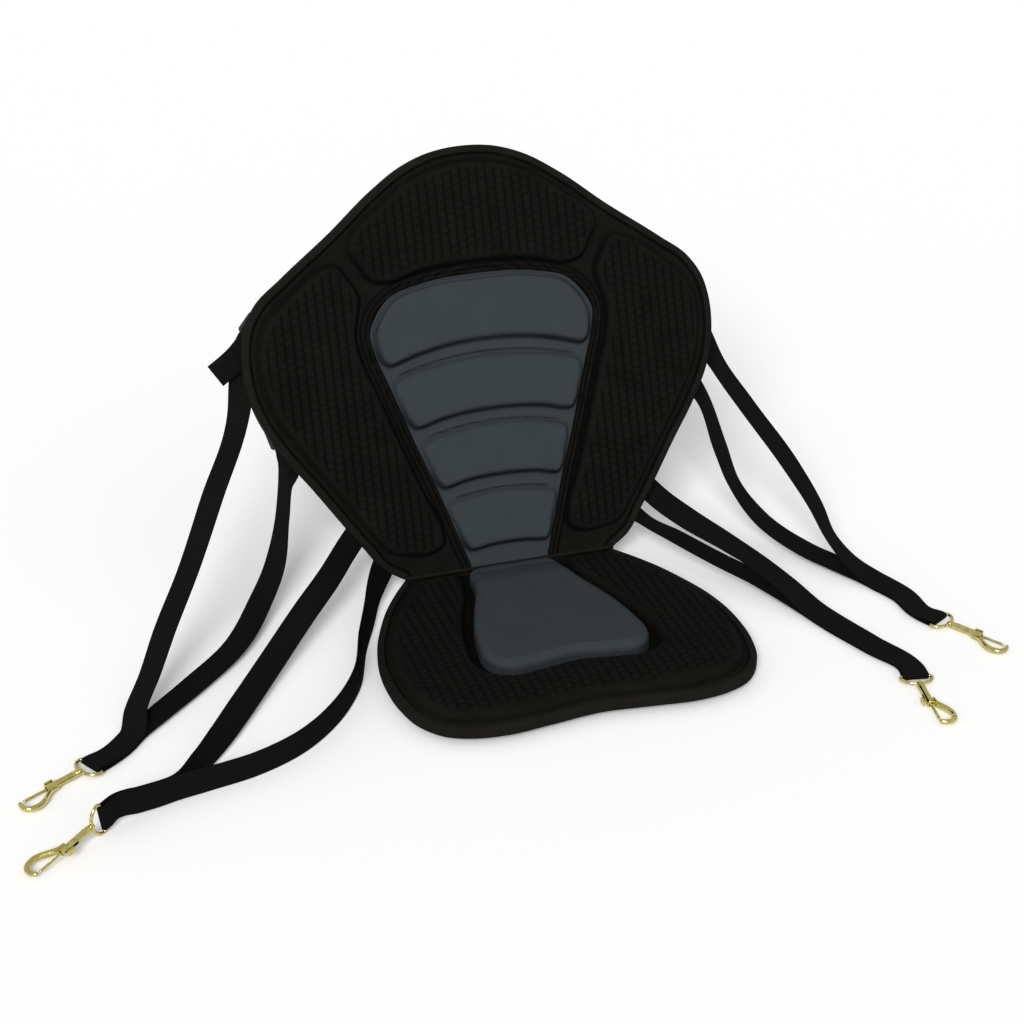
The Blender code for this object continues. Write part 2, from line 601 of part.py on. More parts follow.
def build_snap_eye(name, snap):
    # A wire ring with one straight side for the webbing, and the swivel pin with its swaged head.
    bow = [(EYE_CORNER + (EYE_DEPTH - EYE_CORNER) * math.cos(turn), EYE_HALF_WIDTH * math.sin(turn), 0)
           for turn in np.linspace(-math.pi / 2, math.pi / 2, 9)]
    bend = (EYE_CORNER / 4, EYE_HALF_WIDTH - EYE_CORNER * 0.6)
    straight = EYE_HALF_WIDTH - 3 * MM
    bar = [(bend[0], bend[1], 0), (0, straight, 0), (0, straight / 3, 0), (0, -straight / 3, 0), (0, -straight, 0),
           (bend[0], -bend[1], 0)]
    ring = tube(name, bow + bar, EYE_WIRE, 6, snap.on_eye, BRASS, closed=True)
    pin = tube("pin", on_axis((11.8, 15.98, BOSS_END / MM, 18.28, 18.3, 19.8)),
               [3.0 * MM, 3.0 * MM, PIN_RADIUS, PIN_RADIUS, 1.95 * MM, 1.95 * MM], 8, snap.on_eye, BRASS)
    combine(ring, pin, "UNION")


def build_snap_body(name, snap):
    # The hollow barrel, slotted for the thumb knob, with the hook that the bolt closes.
    hole = PIN_RADIUS + 0.35 * MM
    wall = 18 * MM
    profile = [(BARREL_START, hole), (BARREL_START, 3 * MM), (17 * MM, BARREL_RADIUS), (BARREL_END, BARREL_RADIUS),
               (BARREL_END, BORE_RADIUS), (wall, BORE_RADIUS), (wall, hole)]
    body = turned_part(name, profile, 9, snap.on_body, BRASS)
    reach = HOOK_REACH / MM
    line = [(41, 4.8), (49, 5.4), (55, 9), (61, 13), (68, 15.4), (74, 14.8), (reach + 0.6, 11.5), (reach + 1.8, 6),
            (reach + 0.6, 1.2), (reach - 0.4, -1.2)]
    radii = [1.8, 2.2, 2.7, 3.0, 3.0, 2.8, 2.6, 2.4, 2.2, 2.1]
    rows = np.array([(along, across, 0, radius) for (along, across), radius in zip(line, radii)]) * MM
    rows = curve_through(rows, 14, measured=3)
    hook = tube("hook", rows[:, :3], rows[:, 3], 7, snap.on_body, BRASS)
    combine(body, hook, "UNION")
    outside = -BARREL_RADIUS - 1 * MM
    slot = box("slot", (STEM_START - BOLT_TRAVEL - SLOT_ROOM, outside, -1.35 * MM),
               (STEM_START + STEM_LENGTH + SLOT_ROOM, -1.2 * MM, 1.35 * MM), snap.on_body, BRASS)
    combine(body, slot, "DIFFERENCE")


def build_snap_bolt(name, snap):
    # The sliding bolt: a head in the bore, a thin rod that shuts the hook, and the thumb knob.
    tip = (HOOK_REACH - HOOK_WIRE - 3 * FIT) / MM
    bolt = tube(name, on_axis((38, 47.98, 48, tip)), [2.0 * MM, 2.0 * MM, BOLT_RADIUS, BOLT_RADIUS], 8,
                snap.on_body, BRASS)
    top, foot = -BARREL_RADIUS - KNOB_RISE, -BARREL_RADIUS - KNOB_RISE * 0.4
    stem = box("stem", (STEM_START, foot - 0.4 * MM, -1 * MM), (STEM_START + STEM_LENGTH, -1 * MM, 1 * MM),
               snap.on_body, BRASS)
    combine(bolt, stem, "UNION")
    knob = box("knob", (KNOB_START, top, -2.3 * MM), (KNOB_START + KNOB_LENGTH, foot, 2.3 * MM), snap.on_body, BRASS)
    combine(bolt, knob, "UNION")


def build_snap_spring(name, snap):
    # The coil behind the bolt, at its pressed length so that it clears the bolt when the hook is open.
    coils, steps = 3, 7
    turns = np.arange(coils * steps + 1) * 2 * math.pi / steps
    radius = BORE_RADIUS - 0.6 * MM
    along = np.linspace(20.4 * MM, 38 * MM - BOLT_TRAVEL - 0.6 * MM, len(turns))
    coil = np.column_stack([along, radius * np.cos(turns), radius * np.sin(turns)])
    tube(name, coil, 0.3 * MM, 4, snap.on_body, STEEL, start=(1, 0, 0))


# Routes of the straps. Each stop is (x, y, z) in mm, then the heading and tilt of the webbing's
# width in degrees. A route runs from the backrest towards the snap; the joined route holds both layers.

LEFT_UPPER = {
    "snap": Snap((-461, -209, 4), 210, 0, 0, 1),
    "upper_spot": PanelSpot(-228, 268, 228),
    "upper_tail": [(62, 1, -8), (48, 1, -4), (34, 0.5, -1)],
    "upper": [(-247, 103, 227, 165, 22), (-256, 88, 190, 142, 0), (-303, 5, 140, 142, -8), (-339, -47, 94, 138, -10),
              (-371, -88, 58, 138, -8), (-393, -121, 32, 136, -12), (-411, -147, 15, 136, -10)],
    "lower_spot": PanelSpot(-216, 161, -75),
    "lower_tail": [(36, 0, 0)],
    "lower": [(-211, 72, 135, 150, -5), (-214, 80, 112, 115, 0), (-223, 66, 74, 115, -15), (-239, 38, 38, 135, -5),
              (-263, 3, 18, 145, 5), (-297, -51, 9, 140, 5), (-351, -108, 6, 135, 8), (-391, -146, 5, 132, 4)],
    "joined": [(-420, -173, 4, 132, 0)],
}
LEFT_LOWER = {
    "snap": Snap((-465, -308, 16.4), 217, 8.5, 90, -1),
    "upper_spot": PanelSpot(-118, 98, 241),
    "upper_tail": [(36, 0, 0)],
    "upper": [(-139, 50, 69, 168, 30), (-160, 38, 50, 158, 40), (-197, -16, 43, 150, 40), (-227, -51, 34, 150, 35),
              (-275, -110, 19, 150, 35), (-318, -172, 14, 147, 38), (-347, -216, 14, 142, 55), (-374, -252, 14, 128, 75)],
    "lower_spot": PanelSpot(-105, 45, 250),
    "lower": [(-117, 36, 38, 170, 25), (-130, 23, 25, 162, 40), (-148, -10, 19, 156, 60), (-163, -48, 16, 155, 68),
              (-181, -92, 14, 165, 75), (-205, -160, 14, 155, 80), (-237, -208, 14, 140, 82), (-279, -246, 14, 122, 85),
              (-324, -267, 14, 108, 87), (-366, -276, 14, 98, 87)],
    "joined": [(-402, -282, 14, 100, 87), (-432, -290, 15, 112, 87)],
}
RIGHT_UPPER = {
    "snap": Snap((380, -216, 4), -60, 0, 0, -1),
    "upper_spot": PanelSpot(221, 252, -62),
    "upper_tail": [(34, 0, 0)],
    "upper": [(241, 96, 214, 12, 15), (259, 84, 177, 25, 0), (274, 34, 146, 25, 0), (302, -21, 98, 25, 0),
              (317, -57, 64, 30, -8), (325, -80, 38, 38, -12), (338, -99, 19, 35, -5)],
    "lower_spot": PanelSpot(206, 198, -64),
    "lower_tail": [(34, 0, 0)],
    "lower": [(224, 80, 168, 20, 10), (238, 72, 146, 34, -5), (253, 48, 92, 36, 0), (264, 33, 56, 38, -8),
              (280, 0, 29, 32, 0), (310, -54, 12, 30, 8), (334, -92, 8, 28, 10)],
    "joined": [(353, -126, 7, 25, 10), (368, -163, 5, 18, 6)],
}
RIGHT_LOWER = {
    "snap": Snap((308, -305, 4), 259, 0, 0, 1),
    "upper_spot": PanelSpot(122, 118, -58),
    "upper_tail": [(34, 0, 0)],
    "upper": [(140, 50, 94, 30, 25), (155, 45, 76, 28, 30), (172, 34, 57, 20, 30), (188, -16, 51, 20, 28),
              (214, -73, 44, 30, 12), (236, -101, 32, 30, 5), (251, -130, 22, 22, 6)],
    "lower_spot": PanelSpot(112, 75, -52),
    "lower": [(126, 38, 66, 30, 20), (137, 38, 52, 28, 0), (155, 27, 35, 30, -8), (177, -14, 30, 36, 0),
              (209, -65, 21, 34, 2), (235, -100, 14, 30, 4), (253, -135, 10, 22, 8)],
    "joined": [(268, -172, 8, 18, 12), (293, -243, 6, 14, 8)],
}


def build_straps():
    for place, plan in (("upper_left", LEFT_UPPER), ("lower_left", LEFT_LOWER),
                        ("upper_right", RIGHT_UPPER), ("lower_right", RIGHT_LOWER)):
        ends = {}
        for end in ("upper", "lower"):
            spot = plan[end + "_spot"]
            if end + "_tail" in plan:
                label = place + ("_" if end == "upper" else "_second_")
                ladder_lock(label + "ladder_lock", spot)
                lock_tab(label + "lock_tab", spot)
                ends[end] = lock_end(spot, plan[end + "_tail"])
            else:
                ends[end] = sewn_end(spot)
        build_strap(place + "_strap", ends["upper"], plan["upper"], ends["lower"], plan["lower"], plan["joined"],
                    plan["snap"])
        build_snap(place + "_snap", plan["snap"])


back_of_cover = build_backrest()
build_seat()
build_fold(back_of_cover)
build_straps()
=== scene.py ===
import json
import math

import bpy
import numpy as np
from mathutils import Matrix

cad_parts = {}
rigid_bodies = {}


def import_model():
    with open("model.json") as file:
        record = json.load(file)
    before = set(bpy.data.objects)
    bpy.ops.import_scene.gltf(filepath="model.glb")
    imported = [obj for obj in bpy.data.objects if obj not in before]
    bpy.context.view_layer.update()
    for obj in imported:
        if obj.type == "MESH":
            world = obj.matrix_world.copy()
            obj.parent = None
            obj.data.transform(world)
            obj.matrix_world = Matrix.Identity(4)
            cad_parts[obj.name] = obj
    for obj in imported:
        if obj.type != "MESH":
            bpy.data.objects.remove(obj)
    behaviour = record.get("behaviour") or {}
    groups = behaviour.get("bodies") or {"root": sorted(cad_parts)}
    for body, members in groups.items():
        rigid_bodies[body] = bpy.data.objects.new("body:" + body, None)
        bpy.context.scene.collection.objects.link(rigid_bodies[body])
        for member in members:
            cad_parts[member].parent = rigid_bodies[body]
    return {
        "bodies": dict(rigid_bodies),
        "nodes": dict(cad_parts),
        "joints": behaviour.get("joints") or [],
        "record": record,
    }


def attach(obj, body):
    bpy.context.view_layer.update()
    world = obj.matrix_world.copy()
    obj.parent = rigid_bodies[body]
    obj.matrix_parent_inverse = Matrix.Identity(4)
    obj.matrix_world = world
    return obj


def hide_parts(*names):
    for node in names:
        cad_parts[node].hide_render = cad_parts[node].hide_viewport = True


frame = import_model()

# All lengths are millimetres from the floor under the fold; settle moves them into the frame.
scene = bpy.context.scene
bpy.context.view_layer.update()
print("frame loaded:", len(frame["nodes"]), "pieces to dress")

panels = {
    "recline": 21,        # degrees that the backrest leans back
    "foldHeight": 22,
    "foldBehind": 59.3,   # from the frame's origin back to the fold
    "corner": 9,          # each outline's point where its side turns into the top or the front
    "inset": 1.6,         # from the outline in to the edge of a cover, under the tape
}


def settle(points):
    return (np.asarray(points, float) + (0, panels["foldBehind"], 0)) * 0.001


def together(*columns):
    # columns as the last axis of one array
    return np.stack(np.broadcast_arrays(*columns), -1)


def fromBack(across, up, out):
    # up runs along the leaning panel, out stands square to its front
    lean = math.radians(panels["recline"])
    y = up * math.sin(lean) - out * math.cos(lean)
    z = panels["foldHeight"] + up * math.cos(lean) + out * math.sin(lean)
    return together(across, y, z)


# Camera and room

cameraPlan = {
    "place": (-586, -1790, 1066),
    "lookAt": (2.1, 0, 79.5),
    "lens": 73.2,
}


def addObject(name, data):
    thing = bpy.data.objects.new(name, data)
    scene.collection.objects.link(thing)
    return thing


def makeCamera():
    place = settle(cameraPlan["place"])
    aim = settle(cameraPlan["lookAt"]) - place
    data = bpy.data.cameras.new("camera")
    data.lens = cameraPlan["lens"]
    data.sensor_width = 36
    data.clip_end = 60
    camera = addObject("camera", data)
    camera.location = place
    camera.rotation_euler = (math.pi / 2 + math.atan2(aim[2], math.hypot(aim[0], aim[1])), 0,
                             math.atan2(-aim[0], aim[1]))
    scene.camera = camera


makeCamera()
studioPlan = {
    "floorSeen": 1.0,          # floor colour that the camera sees, and the one that the light meets
    "floorBounce": 0.80,
    "floorGlow": 0.07,
    "skyStrength": 0.50,
    "keyStrength": 2.4,        # one soft sun from the front, a little to the left and above
    "keyTurn": (56, 0, -28),
    "keySoftness": 24,
}


def addNode(tree, kind, inputs=None, **settings):
    # one shader node with its settings; an input is a value or another node's output
    node = tree.nodes.new("ShaderNode" + kind)
    for name, value in settings.items():
        setattr(node, name, value)
    for name, value in (inputs or {}).items():
        if isinstance(value, bpy.types.NodeSocket):
            tree.links.new(value, node.inputs[name])
        else:
            node.inputs[name].default_value = value
    return node


def addSurface(tree, output, met, seen):
    # one shader for the light that meets a surface, and another for the camera
    toCamera = addNode(tree, "LightPath").outputs["Is Camera Ray"]
    mix = addNode(tree, "MixShader", {0: toCamera, 1: met.outputs[0], 2: seen.outputs[0]})
    addNode(tree, output, {"Surface": mix.outputs[0]})


def makeRoom():
    # lights the seat softly, and looks plain white to the camera
    scene.view_settings.view_transform = "Standard"
    world = bpy.data.worlds.new("room")
    scene.world = world
    world.use_nodes = True
    tree = world.node_tree
    tree.nodes.clear()
    light = addNode(tree, "Background", {"Color": (1, 1, 1, 1), "Strength": studioPlan["skyStrength"]})
    white = addNode(tree, "Background", {"Color": (1, 1, 1, 1), "Strength": 1.0})
    addSurface(tree, "OutputWorld", light, white)


def makeKeyLight():
    sun = bpy.data.lights.new("key", "SUN")
    sun.energy = studioPlan["keyStrength"]
    sun.angle = math.radians(studioPlan["keySoftness"])
    addObject("key", sun).rotation_euler = [math.radians(turn) for turn in studioPlan["keyTurn"]]


def makeFloor():
    half = 12.0
    ground = bpy.data.meshes.new("floor")
    ground.from_pydata([(-half, -half, 0), (half, -half, 0), (half, half, 0), (-half, half, 0)], [], [(0, 1, 2, 3)])
    floor = addObject("floor", ground)
    paint = bpy.data.materials.new("floorPaint")
    paint.use_nodes = True
    tree = paint.node_tree
    tree.nodes.clear()
    bounce = addNode(tree, "BsdfDiffuse", {"Color": (*[studioPlan["floorBounce"]] * 3, 1)})
    white = addNode(tree, "BsdfDiffuse", {"Color": (*[studioPlan["floorSeen"]] * 3, 1)})
    glow = addNode(tree, "Emission", {"Strength": studioPlan["floorGlow"]})
    both = addNode(tree, "AddShader", {0: white.outputs[0], 1: glow.outputs[0]})
    addSurface(tree, "OutputMaterial", bounce, both)
    ground.materials.append(paint)


makeRoom()
makeKeyLight()
makeFloor()
print("camera and room ready")


# Lines, grids and meshes

def runOf(path):
    # length along a line, up to each of its points
    return np.append(0, np.cumsum(np.linalg.norm(np.diff(path, axis=0), axis=1)))


def unit(vectors):
    return vectors / np.linalg.norm(vectors, axis=-1, keepdims=True)


def across(vectors, along):
    # unit vectors square to a line's direction
    return unit(vectors - along * np.sum(along * vectors, axis=1)[:, None])


def smoothLine(points, count=None, closed=False, part=None, step=None):
    # cubic Hermite through the points with chord-weighted slopes, then even steps of its length in x, y, z
    points = np.asarray(points, float)
    if closed:
        run = np.vstack([points[-1:], points, points[:2]])
    else:
        run = np.vstack([2 * points[0] - points[1], points, 2 * points[-1] - points[-2]])
    spans = np.linalg.norm(np.diff(run[:, :3], axis=0), axis=1)[:, None]
    slopes = np.diff(run, axis=0) / spans
    tangents = (slopes[:-1] * spans[1:] + slopes[1:] * spans[:-1]) / (spans[1:] + spans[:-1])
    t = np.linspace(0, 1, 16, endpoint=False)[None, :, None]
    start, end, span = run[1:-2, None], run[2:-1, None], spans[1:-1, None]
    fine = ((2 * t**3 - 3 * t**2 + 1) * start + (3 * t**2 - 2 * t**3) * end
            + (t**3 - 2 * t**2 + t) * tangents[:-1, None] * span + (t**3 - t**2) * tangents[1:, None] * span)
    fine = np.vstack([fine.reshape(-1, points.shape[1]), run[-2:-1]])
    if part:
        fine = fine[16 * part[0]:16 * part[1] + 1]
    along = runOf(fine[:, :3])
    count = count or max(3, round(along[-1] / step) + 1)
    steps = np.linspace(0, along[-1], count, endpoint=not closed)
    return np.stack([np.interp(steps, along, column) for column in fine.T], 1)


def overCentre(rightHalf):
    # the whole of an open line from its right half, which ends on the centre line
    right = np.array(rightHalf, float)
    return np.vstack([right, right[::-1][1:] * (-1, 1)])


def wholeLoop(rightHalf, step=3.0):
    # a closed outline from its right half, whose both ends lie on the centre line
    return smoothLine(overCentre(rightHalf)[:-1], closed=True, step=step)


def depthInside(loop, x, y):
    # distance to a closed outline, positive inside, taken one side at a time over the whole grid
    nearest, inside = np.full(x.shape, np.inf), np.zeros(x.shape, bool)
    for (ax, ay), (bx, by) in zip(loop, np.roll(loop, -1, axis=0)):
        dx, dy = bx - ax, by - ay
        t = np.clip(((x - ax) * dx + (y - ay) * dy) / (dx * dx + dy * dy), 0, 1)
        nearest = np.minimum(nearest, (x - ax - t * dx) ** 2 + (y - ay - t * dy) ** 2)
        if dy:
            inside ^= ((ay > y) != (by > y)) & (x < ax + dx * (y - ay) / dy)
    return np.sqrt(nearest) * np.where(inside, 1, -1)


def shoulder(depth, width):
    # quarter circle: 0 at the edge, 1 from the width inwards
    t = np.clip(depth / width, 0, 1)
    return np.sqrt(t * (2 - t))


def ease(value, low, high):
    t = np.clip((value - low) / (high - low), 0, 1)
    return t * t * (3 - 2 * t)


def ridge(distance, centre, halfWidth):
    # one hump of a cosine, 1 at the centre and 0 beyond the half width
    t = np.clip(np.abs(distance - centre) / halfWidth, 0, 1)
    return 0.5 + 0.5 * np.cos(np.pi * t)


def inwardOf(path):
    # unit vectors to the left of a flat line
    along = np.gradient(path, axis=0)
    return unit(np.stack([-along[:, 1], along[:, 0]], 1))


def fourSided(low, right, high, left, step):
    # blends four edge lines into one grid; low and high run left to right, left and right run low to high
    columns, rows = (round(max(runOf(line)[-1] for line in pair) / step) + 1
                     for pair in ((low, high), (left, right)))
    low, high = (smoothLine(line, columns) for line in (low, high))
    left, right = (smoothLine(line, rows) for line in (left, right))
    s, t = np.linspace(0, 1, columns)[None, :, None], np.linspace(0, 1, rows)[:, None, None]
    ruled = (1 - t) * low[None] + t * high[None] + (1 - s) * left[:, None] + s * right[:, None]
    corners = (1 - t) * ((1 - s) * low[0] + s * low[-1]) + t * ((1 - s) * high[0] + s * high[-1])
    return ruled - corners


def gridFaces(rows, columns, around=False, along=False):
    # quads of a grid, joined round its columns or its rows where asked
    index = np.arange(rows * columns).reshape(rows, columns)
    if around:
        index = np.hstack([index, index[:, :1]])
    if along:
        index = np.vstack([index, index[:1]])
    return np.stack([index[:-1, :-1], index[:-1, 1:], index[1:, 1:], index[1:, :-1]], -1).reshape(-1, 4)


def patch(points, quads, caps=(), uv=None, seamAndPaintedShade=None):
    flat = np.asarray(points, float).reshape(-1, 3)
    uv = flat[:, :2] if uv is None else np.asarray(uv, float).reshape(-1, 2)
    seamAndPaintedShade = np.zeros(len(flat)) if seamAndPaintedShade is None else np.asarray(seamAndPaintedShade, float).reshape(-1)
    return {"points": flat, "quads": quads, "caps": [np.asarray(ring) for ring in caps], "uv": uv, "seamAndPaintedShade": seamAndPaintedShade}


def carried(rings, uv=None, closed=False):
    # rings of corners carried along a path, with flat ends unless the path is closed
    rows, columns = rings.shape[:2]
    ends = () if closed else (np.arange(columns)[::-1], np.arange((rows - 1) * columns, rows * columns))
    return patch(rings, gridFaces(rows, columns, True, closed), ends, uv)


def slab(grid, height, base, place, seamAndPaintedShade=None):
    # a height over a flat grid, closed by walls and by its back: a flat face, or a grid where base is one
    rows, columns = grid.shape[:2]
    index = np.arange(rows * columns).reshape(rows, columns)
    ring = np.concatenate([index[0, :-1], index[:-1, -1], index[-1, :0:-1], index[:0:-1, 0]])
    flat = np.column_stack([grid.reshape(-1, 2), np.broadcast_to(height, grid.shape[:2]).reshape(-1)])
    faces = gridFaces(rows, columns)
    if np.ndim(base):
        low, under = np.column_stack([flat[:, :2], base.reshape(-1)]), ring + len(flat)
        faces, caps = np.vstack([faces, faces[:, ::-1] + len(flat)]), []
    else:
        low, under = flat[ring] * (1, 1, 0) + (0, 0, base), len(flat) + np.arange(len(ring))
        caps = [under[::-1]]
    walls = np.stack([under, np.roll(under, -1), np.roll(ring, -1), ring], 1)
    every = np.vstack([flat, low])
    seamAndPaintedShade = np.append(np.zeros(len(flat)) if seamAndPaintedShade is None else seamAndPaintedShade.reshape(-1), np.zeros(len(low)))
    return patch(place(*every.T), np.vstack([faces, walls]), caps, every[:, :2], seamAndPaintedShade)


def makePiece(name, parts, finish, body="seat", stands=(), sharp=50):
    # joins the parts into one mesh, with its pattern map and its painted shade: a point attribute that darkens
    # grooves, creases and brick joints
    offsets = np.cumsum([0] + [len(part["points"]) for part in parts])
    quads = np.vstack([part["quads"] + offset for part, offset in zip(parts, offsets)])
    caps = [ring + offset for part, offset in zip(parts, offsets) for ring in part["caps"]]
    corners = np.concatenate([quads.ravel()] + caps)
    sizes = np.concatenate([np.full(len(quads), 4), [len(ring) for ring in caps]]).astype(int)
    points = settle(np.vstack([part["points"] for part in parts]))
    mesh = bpy.data.meshes.new(name)
    mesh.vertices.add(len(points))
    mesh.vertices.foreach_set("co", points.ravel())
    mesh.loops.add(len(corners))
    mesh.loops.foreach_set("vertex_index", corners.astype(np.int32))
    mesh.polygons.add(len(sizes))
    mesh.polygons.foreach_set("loop_start", np.append(0, np.cumsum(sizes)[:-1]).astype(np.int32))
    mesh.update(calc_edges=True)
    layer = mesh.uv_layers.new(name="pattern")
    layer.data.foreach_set("uv", np.vstack([part["uv"] for part in parts])[corners].ravel())
    # a point attribute of painted shade: how far the colour darkens in grooves, creases and brick joints
    seamAndPaintedShade = mesh.attributes.new("seamAndPaintedShade", "FLOAT", "POINT")
    seamAndPaintedShade.data.foreach_set("value", np.concatenate([part["seamAndPaintedShade"] for part in parts]))
    mesh.polygons.foreach_set("use_smooth", np.ones(len(sizes), bool))
    mesh.set_sharp_from_angle(angle=math.radians(sharp))
    mesh.materials.append(finish)
    piece = addObject(name, mesh)
    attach(piece, body)
    if stands:
        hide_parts(*stands)
    return piece


def tube(centres, radii, sides=16, closed=False, start=(0, 0, 1), flat=1.0):
    # an oval carried along the centres; flat is its second radius against the first
    centres = np.asarray(centres, float)
    along = unit(np.roll(centres, -1, 0) - np.roll(centres, 1, 0) if closed else np.gradient(centres, axis=0))
    side = across(np.array(start, float), along)
    turn = np.arange(sides) * 2 * np.pi / sides
    radii = np.broadcast_to(radii, len(centres))[:, None, None]
    flat = np.broadcast_to(flat, len(centres))[:, None, None]
    rings = centres[:, None] + radii * (np.cos(turn)[None, :, None] * side[:, None]
                                        + flat * np.sin(turn)[None, :, None] * np.cross(along, side)[:, None])
    return rings, together(runOf(centres)[:, None], turn * 3)


def stitchRow(path, normals, pitch, length, radius):
    # short thread bumps along a line: one five-sided capsule repeated at each pitch
    run = runOf(path)
    places = np.arange(pitch / 2, run[-1], pitch)

    def at(spots, values):
        return np.stack([np.interp(spots, run, column) for column in values.T], 1)

    middle, up = at(places, path), at(places, normals)
    along = unit(at(places + 0.5, path) - at(places - 0.5, path))
    side = np.cross(along, up)
    steps = np.array([-1.0, -0.8, -0.3, 0.3, 0.8, 1.0])[:, None, None]
    size = np.array([0.25, 0.75, 1.0, 1.0, 0.75, 0.25])[:, None, None]
    turn = np.arange(5)[:, None] * 2 * np.pi / 5
    middle, up, along, side = (column[:, None, None] for column in (middle, up, along, side))
    rings = (middle + along * steps * length / 2 + up * 0.25 * radius * (size - 0.6)
             + radius * size * (up * np.cos(turn) + side * np.sin(turn)))
    count = len(places)
    one = gridFaces(6, 5, around=True)
    quads = (one[None] + 30 * np.arange(count)[:, None, None]).reshape(-1, 4)
    caps = [ring + 30 * n for n in range(count) for ring in (np.arange(5)[::-1], np.arange(25, 30))]
    return patch(rings, quads, caps)


# Finishes

clothPlan = {
    "black": (0.0064, 0.0062, 0.0054),
    "grey": (0.0365, 0.0435, 0.0480),
    "tape": (0.0098, 0.0090, 0.0074),
    "webbing": (0.0046, 0.0045, 0.0041),
    "column": 9.0,        # moulded texture: columns this wide, split into bricks this tall
    "brick": 8.1,
    "weave": 0.9,
    "rib": 2.1,           # from rib to rib along the webbing
}


def newFinish(name, colour, roughness, **settings):
    finish = bpy.data.materials.new(name)
    finish.use_nodes = True
    shader = finish.node_tree.nodes["Principled BSDF"]
    shader.inputs["Base Color"].default_value = (*colour, 1)
    shader.inputs["Roughness"].default_value = roughness
    for socket, value in settings.items():
        shader.inputs[socket.replace("_", " ")].default_value = value
    return finish, finish.node_tree, shader


def tinted(tree, factor, dark, light):
    # runs from one colour to another by a value between 0 and 1; a colour is a value or another node's output
    ends = [end if isinstance(end, bpy.types.NodeSocket) else (*end, 1) for end in (dark, light)]
    return addNode(tree, "Mix", {0: factor, 6: ends[0], 7: ends[1]}, data_type="RGBA").outputs[2]


def linked(finish, tree, shader, shade, bump, rough=None):
    # the finish with its colour, bump and gloss joined to its shader
    tree.links.new(shade, shader.inputs["Base Color"])
    tree.links.new(bump.outputs["Normal"], shader.inputs["Normal"])
    if rough:
        tree.links.new(rough, shader.inputs["Roughness"])
    return finish


def noise(tree, scale, detail, **more):
    # noise over a piece's own place
    place = addNode(tree, "TexCoord").outputs["Object"]
    return addNode(tree, "TexNoise", {"Vector": place, "Scale": scale, "Detail": detail, **more}).outputs["Fac"]


def joinedBy(tree, operation, first, second):
    return addNode(tree, "Math", {0: first, 1: second}, operation=operation).outputs[0]


def clothFinish(name, colour, roughness, cloud=0.3, ribs=False, gloss=0.05):
    # woven cloth: crossed threads on the pattern map, cloudy wear, ribs across webbing with painted highlights on
    # their tops and painted shade between them, and painted shade in grooves, creases and brick joints
    finish, tree, shader = newFinish(name, colour, roughness, Specular_IOR_Level=gloss)
    pattern = addNode(tree, "UVMap", uv_map="pattern").outputs[0]
    waves, pitches = [], (clothPlan["rib"], 1.5) if ribs else [clothPlan["weave"]] * 2
    for direction, pitch in zip("XY", pitches):
        wave = addNode(tree, "TexWave", {"Vector": pattern, "Scale": 0.314 / pitch, "Distortion": 0.4,
                                         "Detail": 1.0}, bands_direction=direction)
        waves.append(wave.outputs["Fac"])
    fuzz = noise(tree, 900.0, 2.0)
    both = joinedBy(tree, "MULTIPLY", noise(tree, 38.0, 5.0, Roughness=0.6), fuzz)
    spread = addNode(tree, "MapRange", {"Value": both, "From Min": 0.12, "From Max": 0.42}).outputs[0]
    shade = tinted(tree, spread, [c * (1 - cloud) for c in colour], [c * (1 + cloud) for c in colour])
    # on webbing, rib tops get a painted highlight and the valleys between ribs painted shade
    if ribs:
        shade = tinted(tree, waves[0], [c * 0.3 for c in colour], [c * 1.6 for c in colour])
    threads = joinedBy(tree, "ADD", waves[0] if ribs else joinedBy(tree, "MULTIPLY", *waves), fuzz)
    bump = addNode(tree, "Bump", {"Height": threads, "Strength": 0.5 if ribs else 0.3, "Distance": 0.0003})
    # painted shade: the point attribute darkens the colour to a quarter in grooves, creases and brick joints
    seamAndPaintedShade = addNode(tree, "Attribute", attribute_name="seamAndPaintedShade").outputs["Fac"]
    shade = tinted(tree, seamAndPaintedShade, shade, [c * 0.25 for c in colour])
    return linked(finish, tree, shader, shade, bump)


def foamFinish():
    finish, tree, shader = newFinish("closedCellFoam", (0.03, 0.03, 0.03), 0.95, Specular_IOR_Level=0.2)
    place = addNode(tree, "TexCoord").outputs["Object"]
    pores = addNode(tree, "TexVoronoi", {"Vector": place, "Scale": 900.0})
    shade = tinted(tree, pores.outputs["Distance"], (0.02, 0.02, 0.02), (0.045, 0.045, 0.045))
    bump = addNode(tree, "Bump", {"Height": pores.outputs["Distance"], "Strength": 0.6, "Distance": 0.0004})
    return linked(finish, tree, shader, shade, bump)


def plasticFinish():
    # moulded black plastic: fine grain and slightly paler rubbed patches
    finish, tree, shader = newFinish("mouldedPlastic", (0.014, 0.014, 0.015), 0.42)
    grain, rub = noise(tree, 1400.0, 3.0), noise(tree, 60.0, 4.0)
    shade = tinted(tree, rub, (0.009, 0.009, 0.010), (0.022, 0.022, 0.023))
    rough = addNode(tree, "MapRange", {"Value": rub, "To Min": 0.34, "To Max": 0.52}).outputs[0]
    bump = addNode(tree, "Bump", {"Height": grain, "Strength": 0.15, "Distance": 0.0002})
    return linked(finish, tree, shader, shade, bump, rough)


def metalFinish(name, dark, light, smooth, rough):
    # cast and polished metal: faint tarnish in colour, fine scratches in gloss
    finish, tree, shader = newFinish(name, light, smooth, Metallic=1.0)
    tarnish, scratch = noise(tree, 140.0, 5.0, Roughness=0.65), noise(tree, 900.0, 2.0)
    spot = addNode(tree, "MapRange", {"Value": tarnish, "From Min": 0.30, "From Max": 0.62}).outputs[0]
    shade = tinted(tree, spot, dark, light)
    gloss = addNode(tree, "MapRange", {"Value": scratch, "From Min": 0.3, "From Max": 0.7,
                                       "To Min": smooth, "To Max": rough}).outputs[0]
    bump = addNode(tree, "Bump", {"Height": tarnish, "Strength": 0.04, "Distance": 0.0004})
    return linked(finish, tree, shader, shade, bump, gloss)


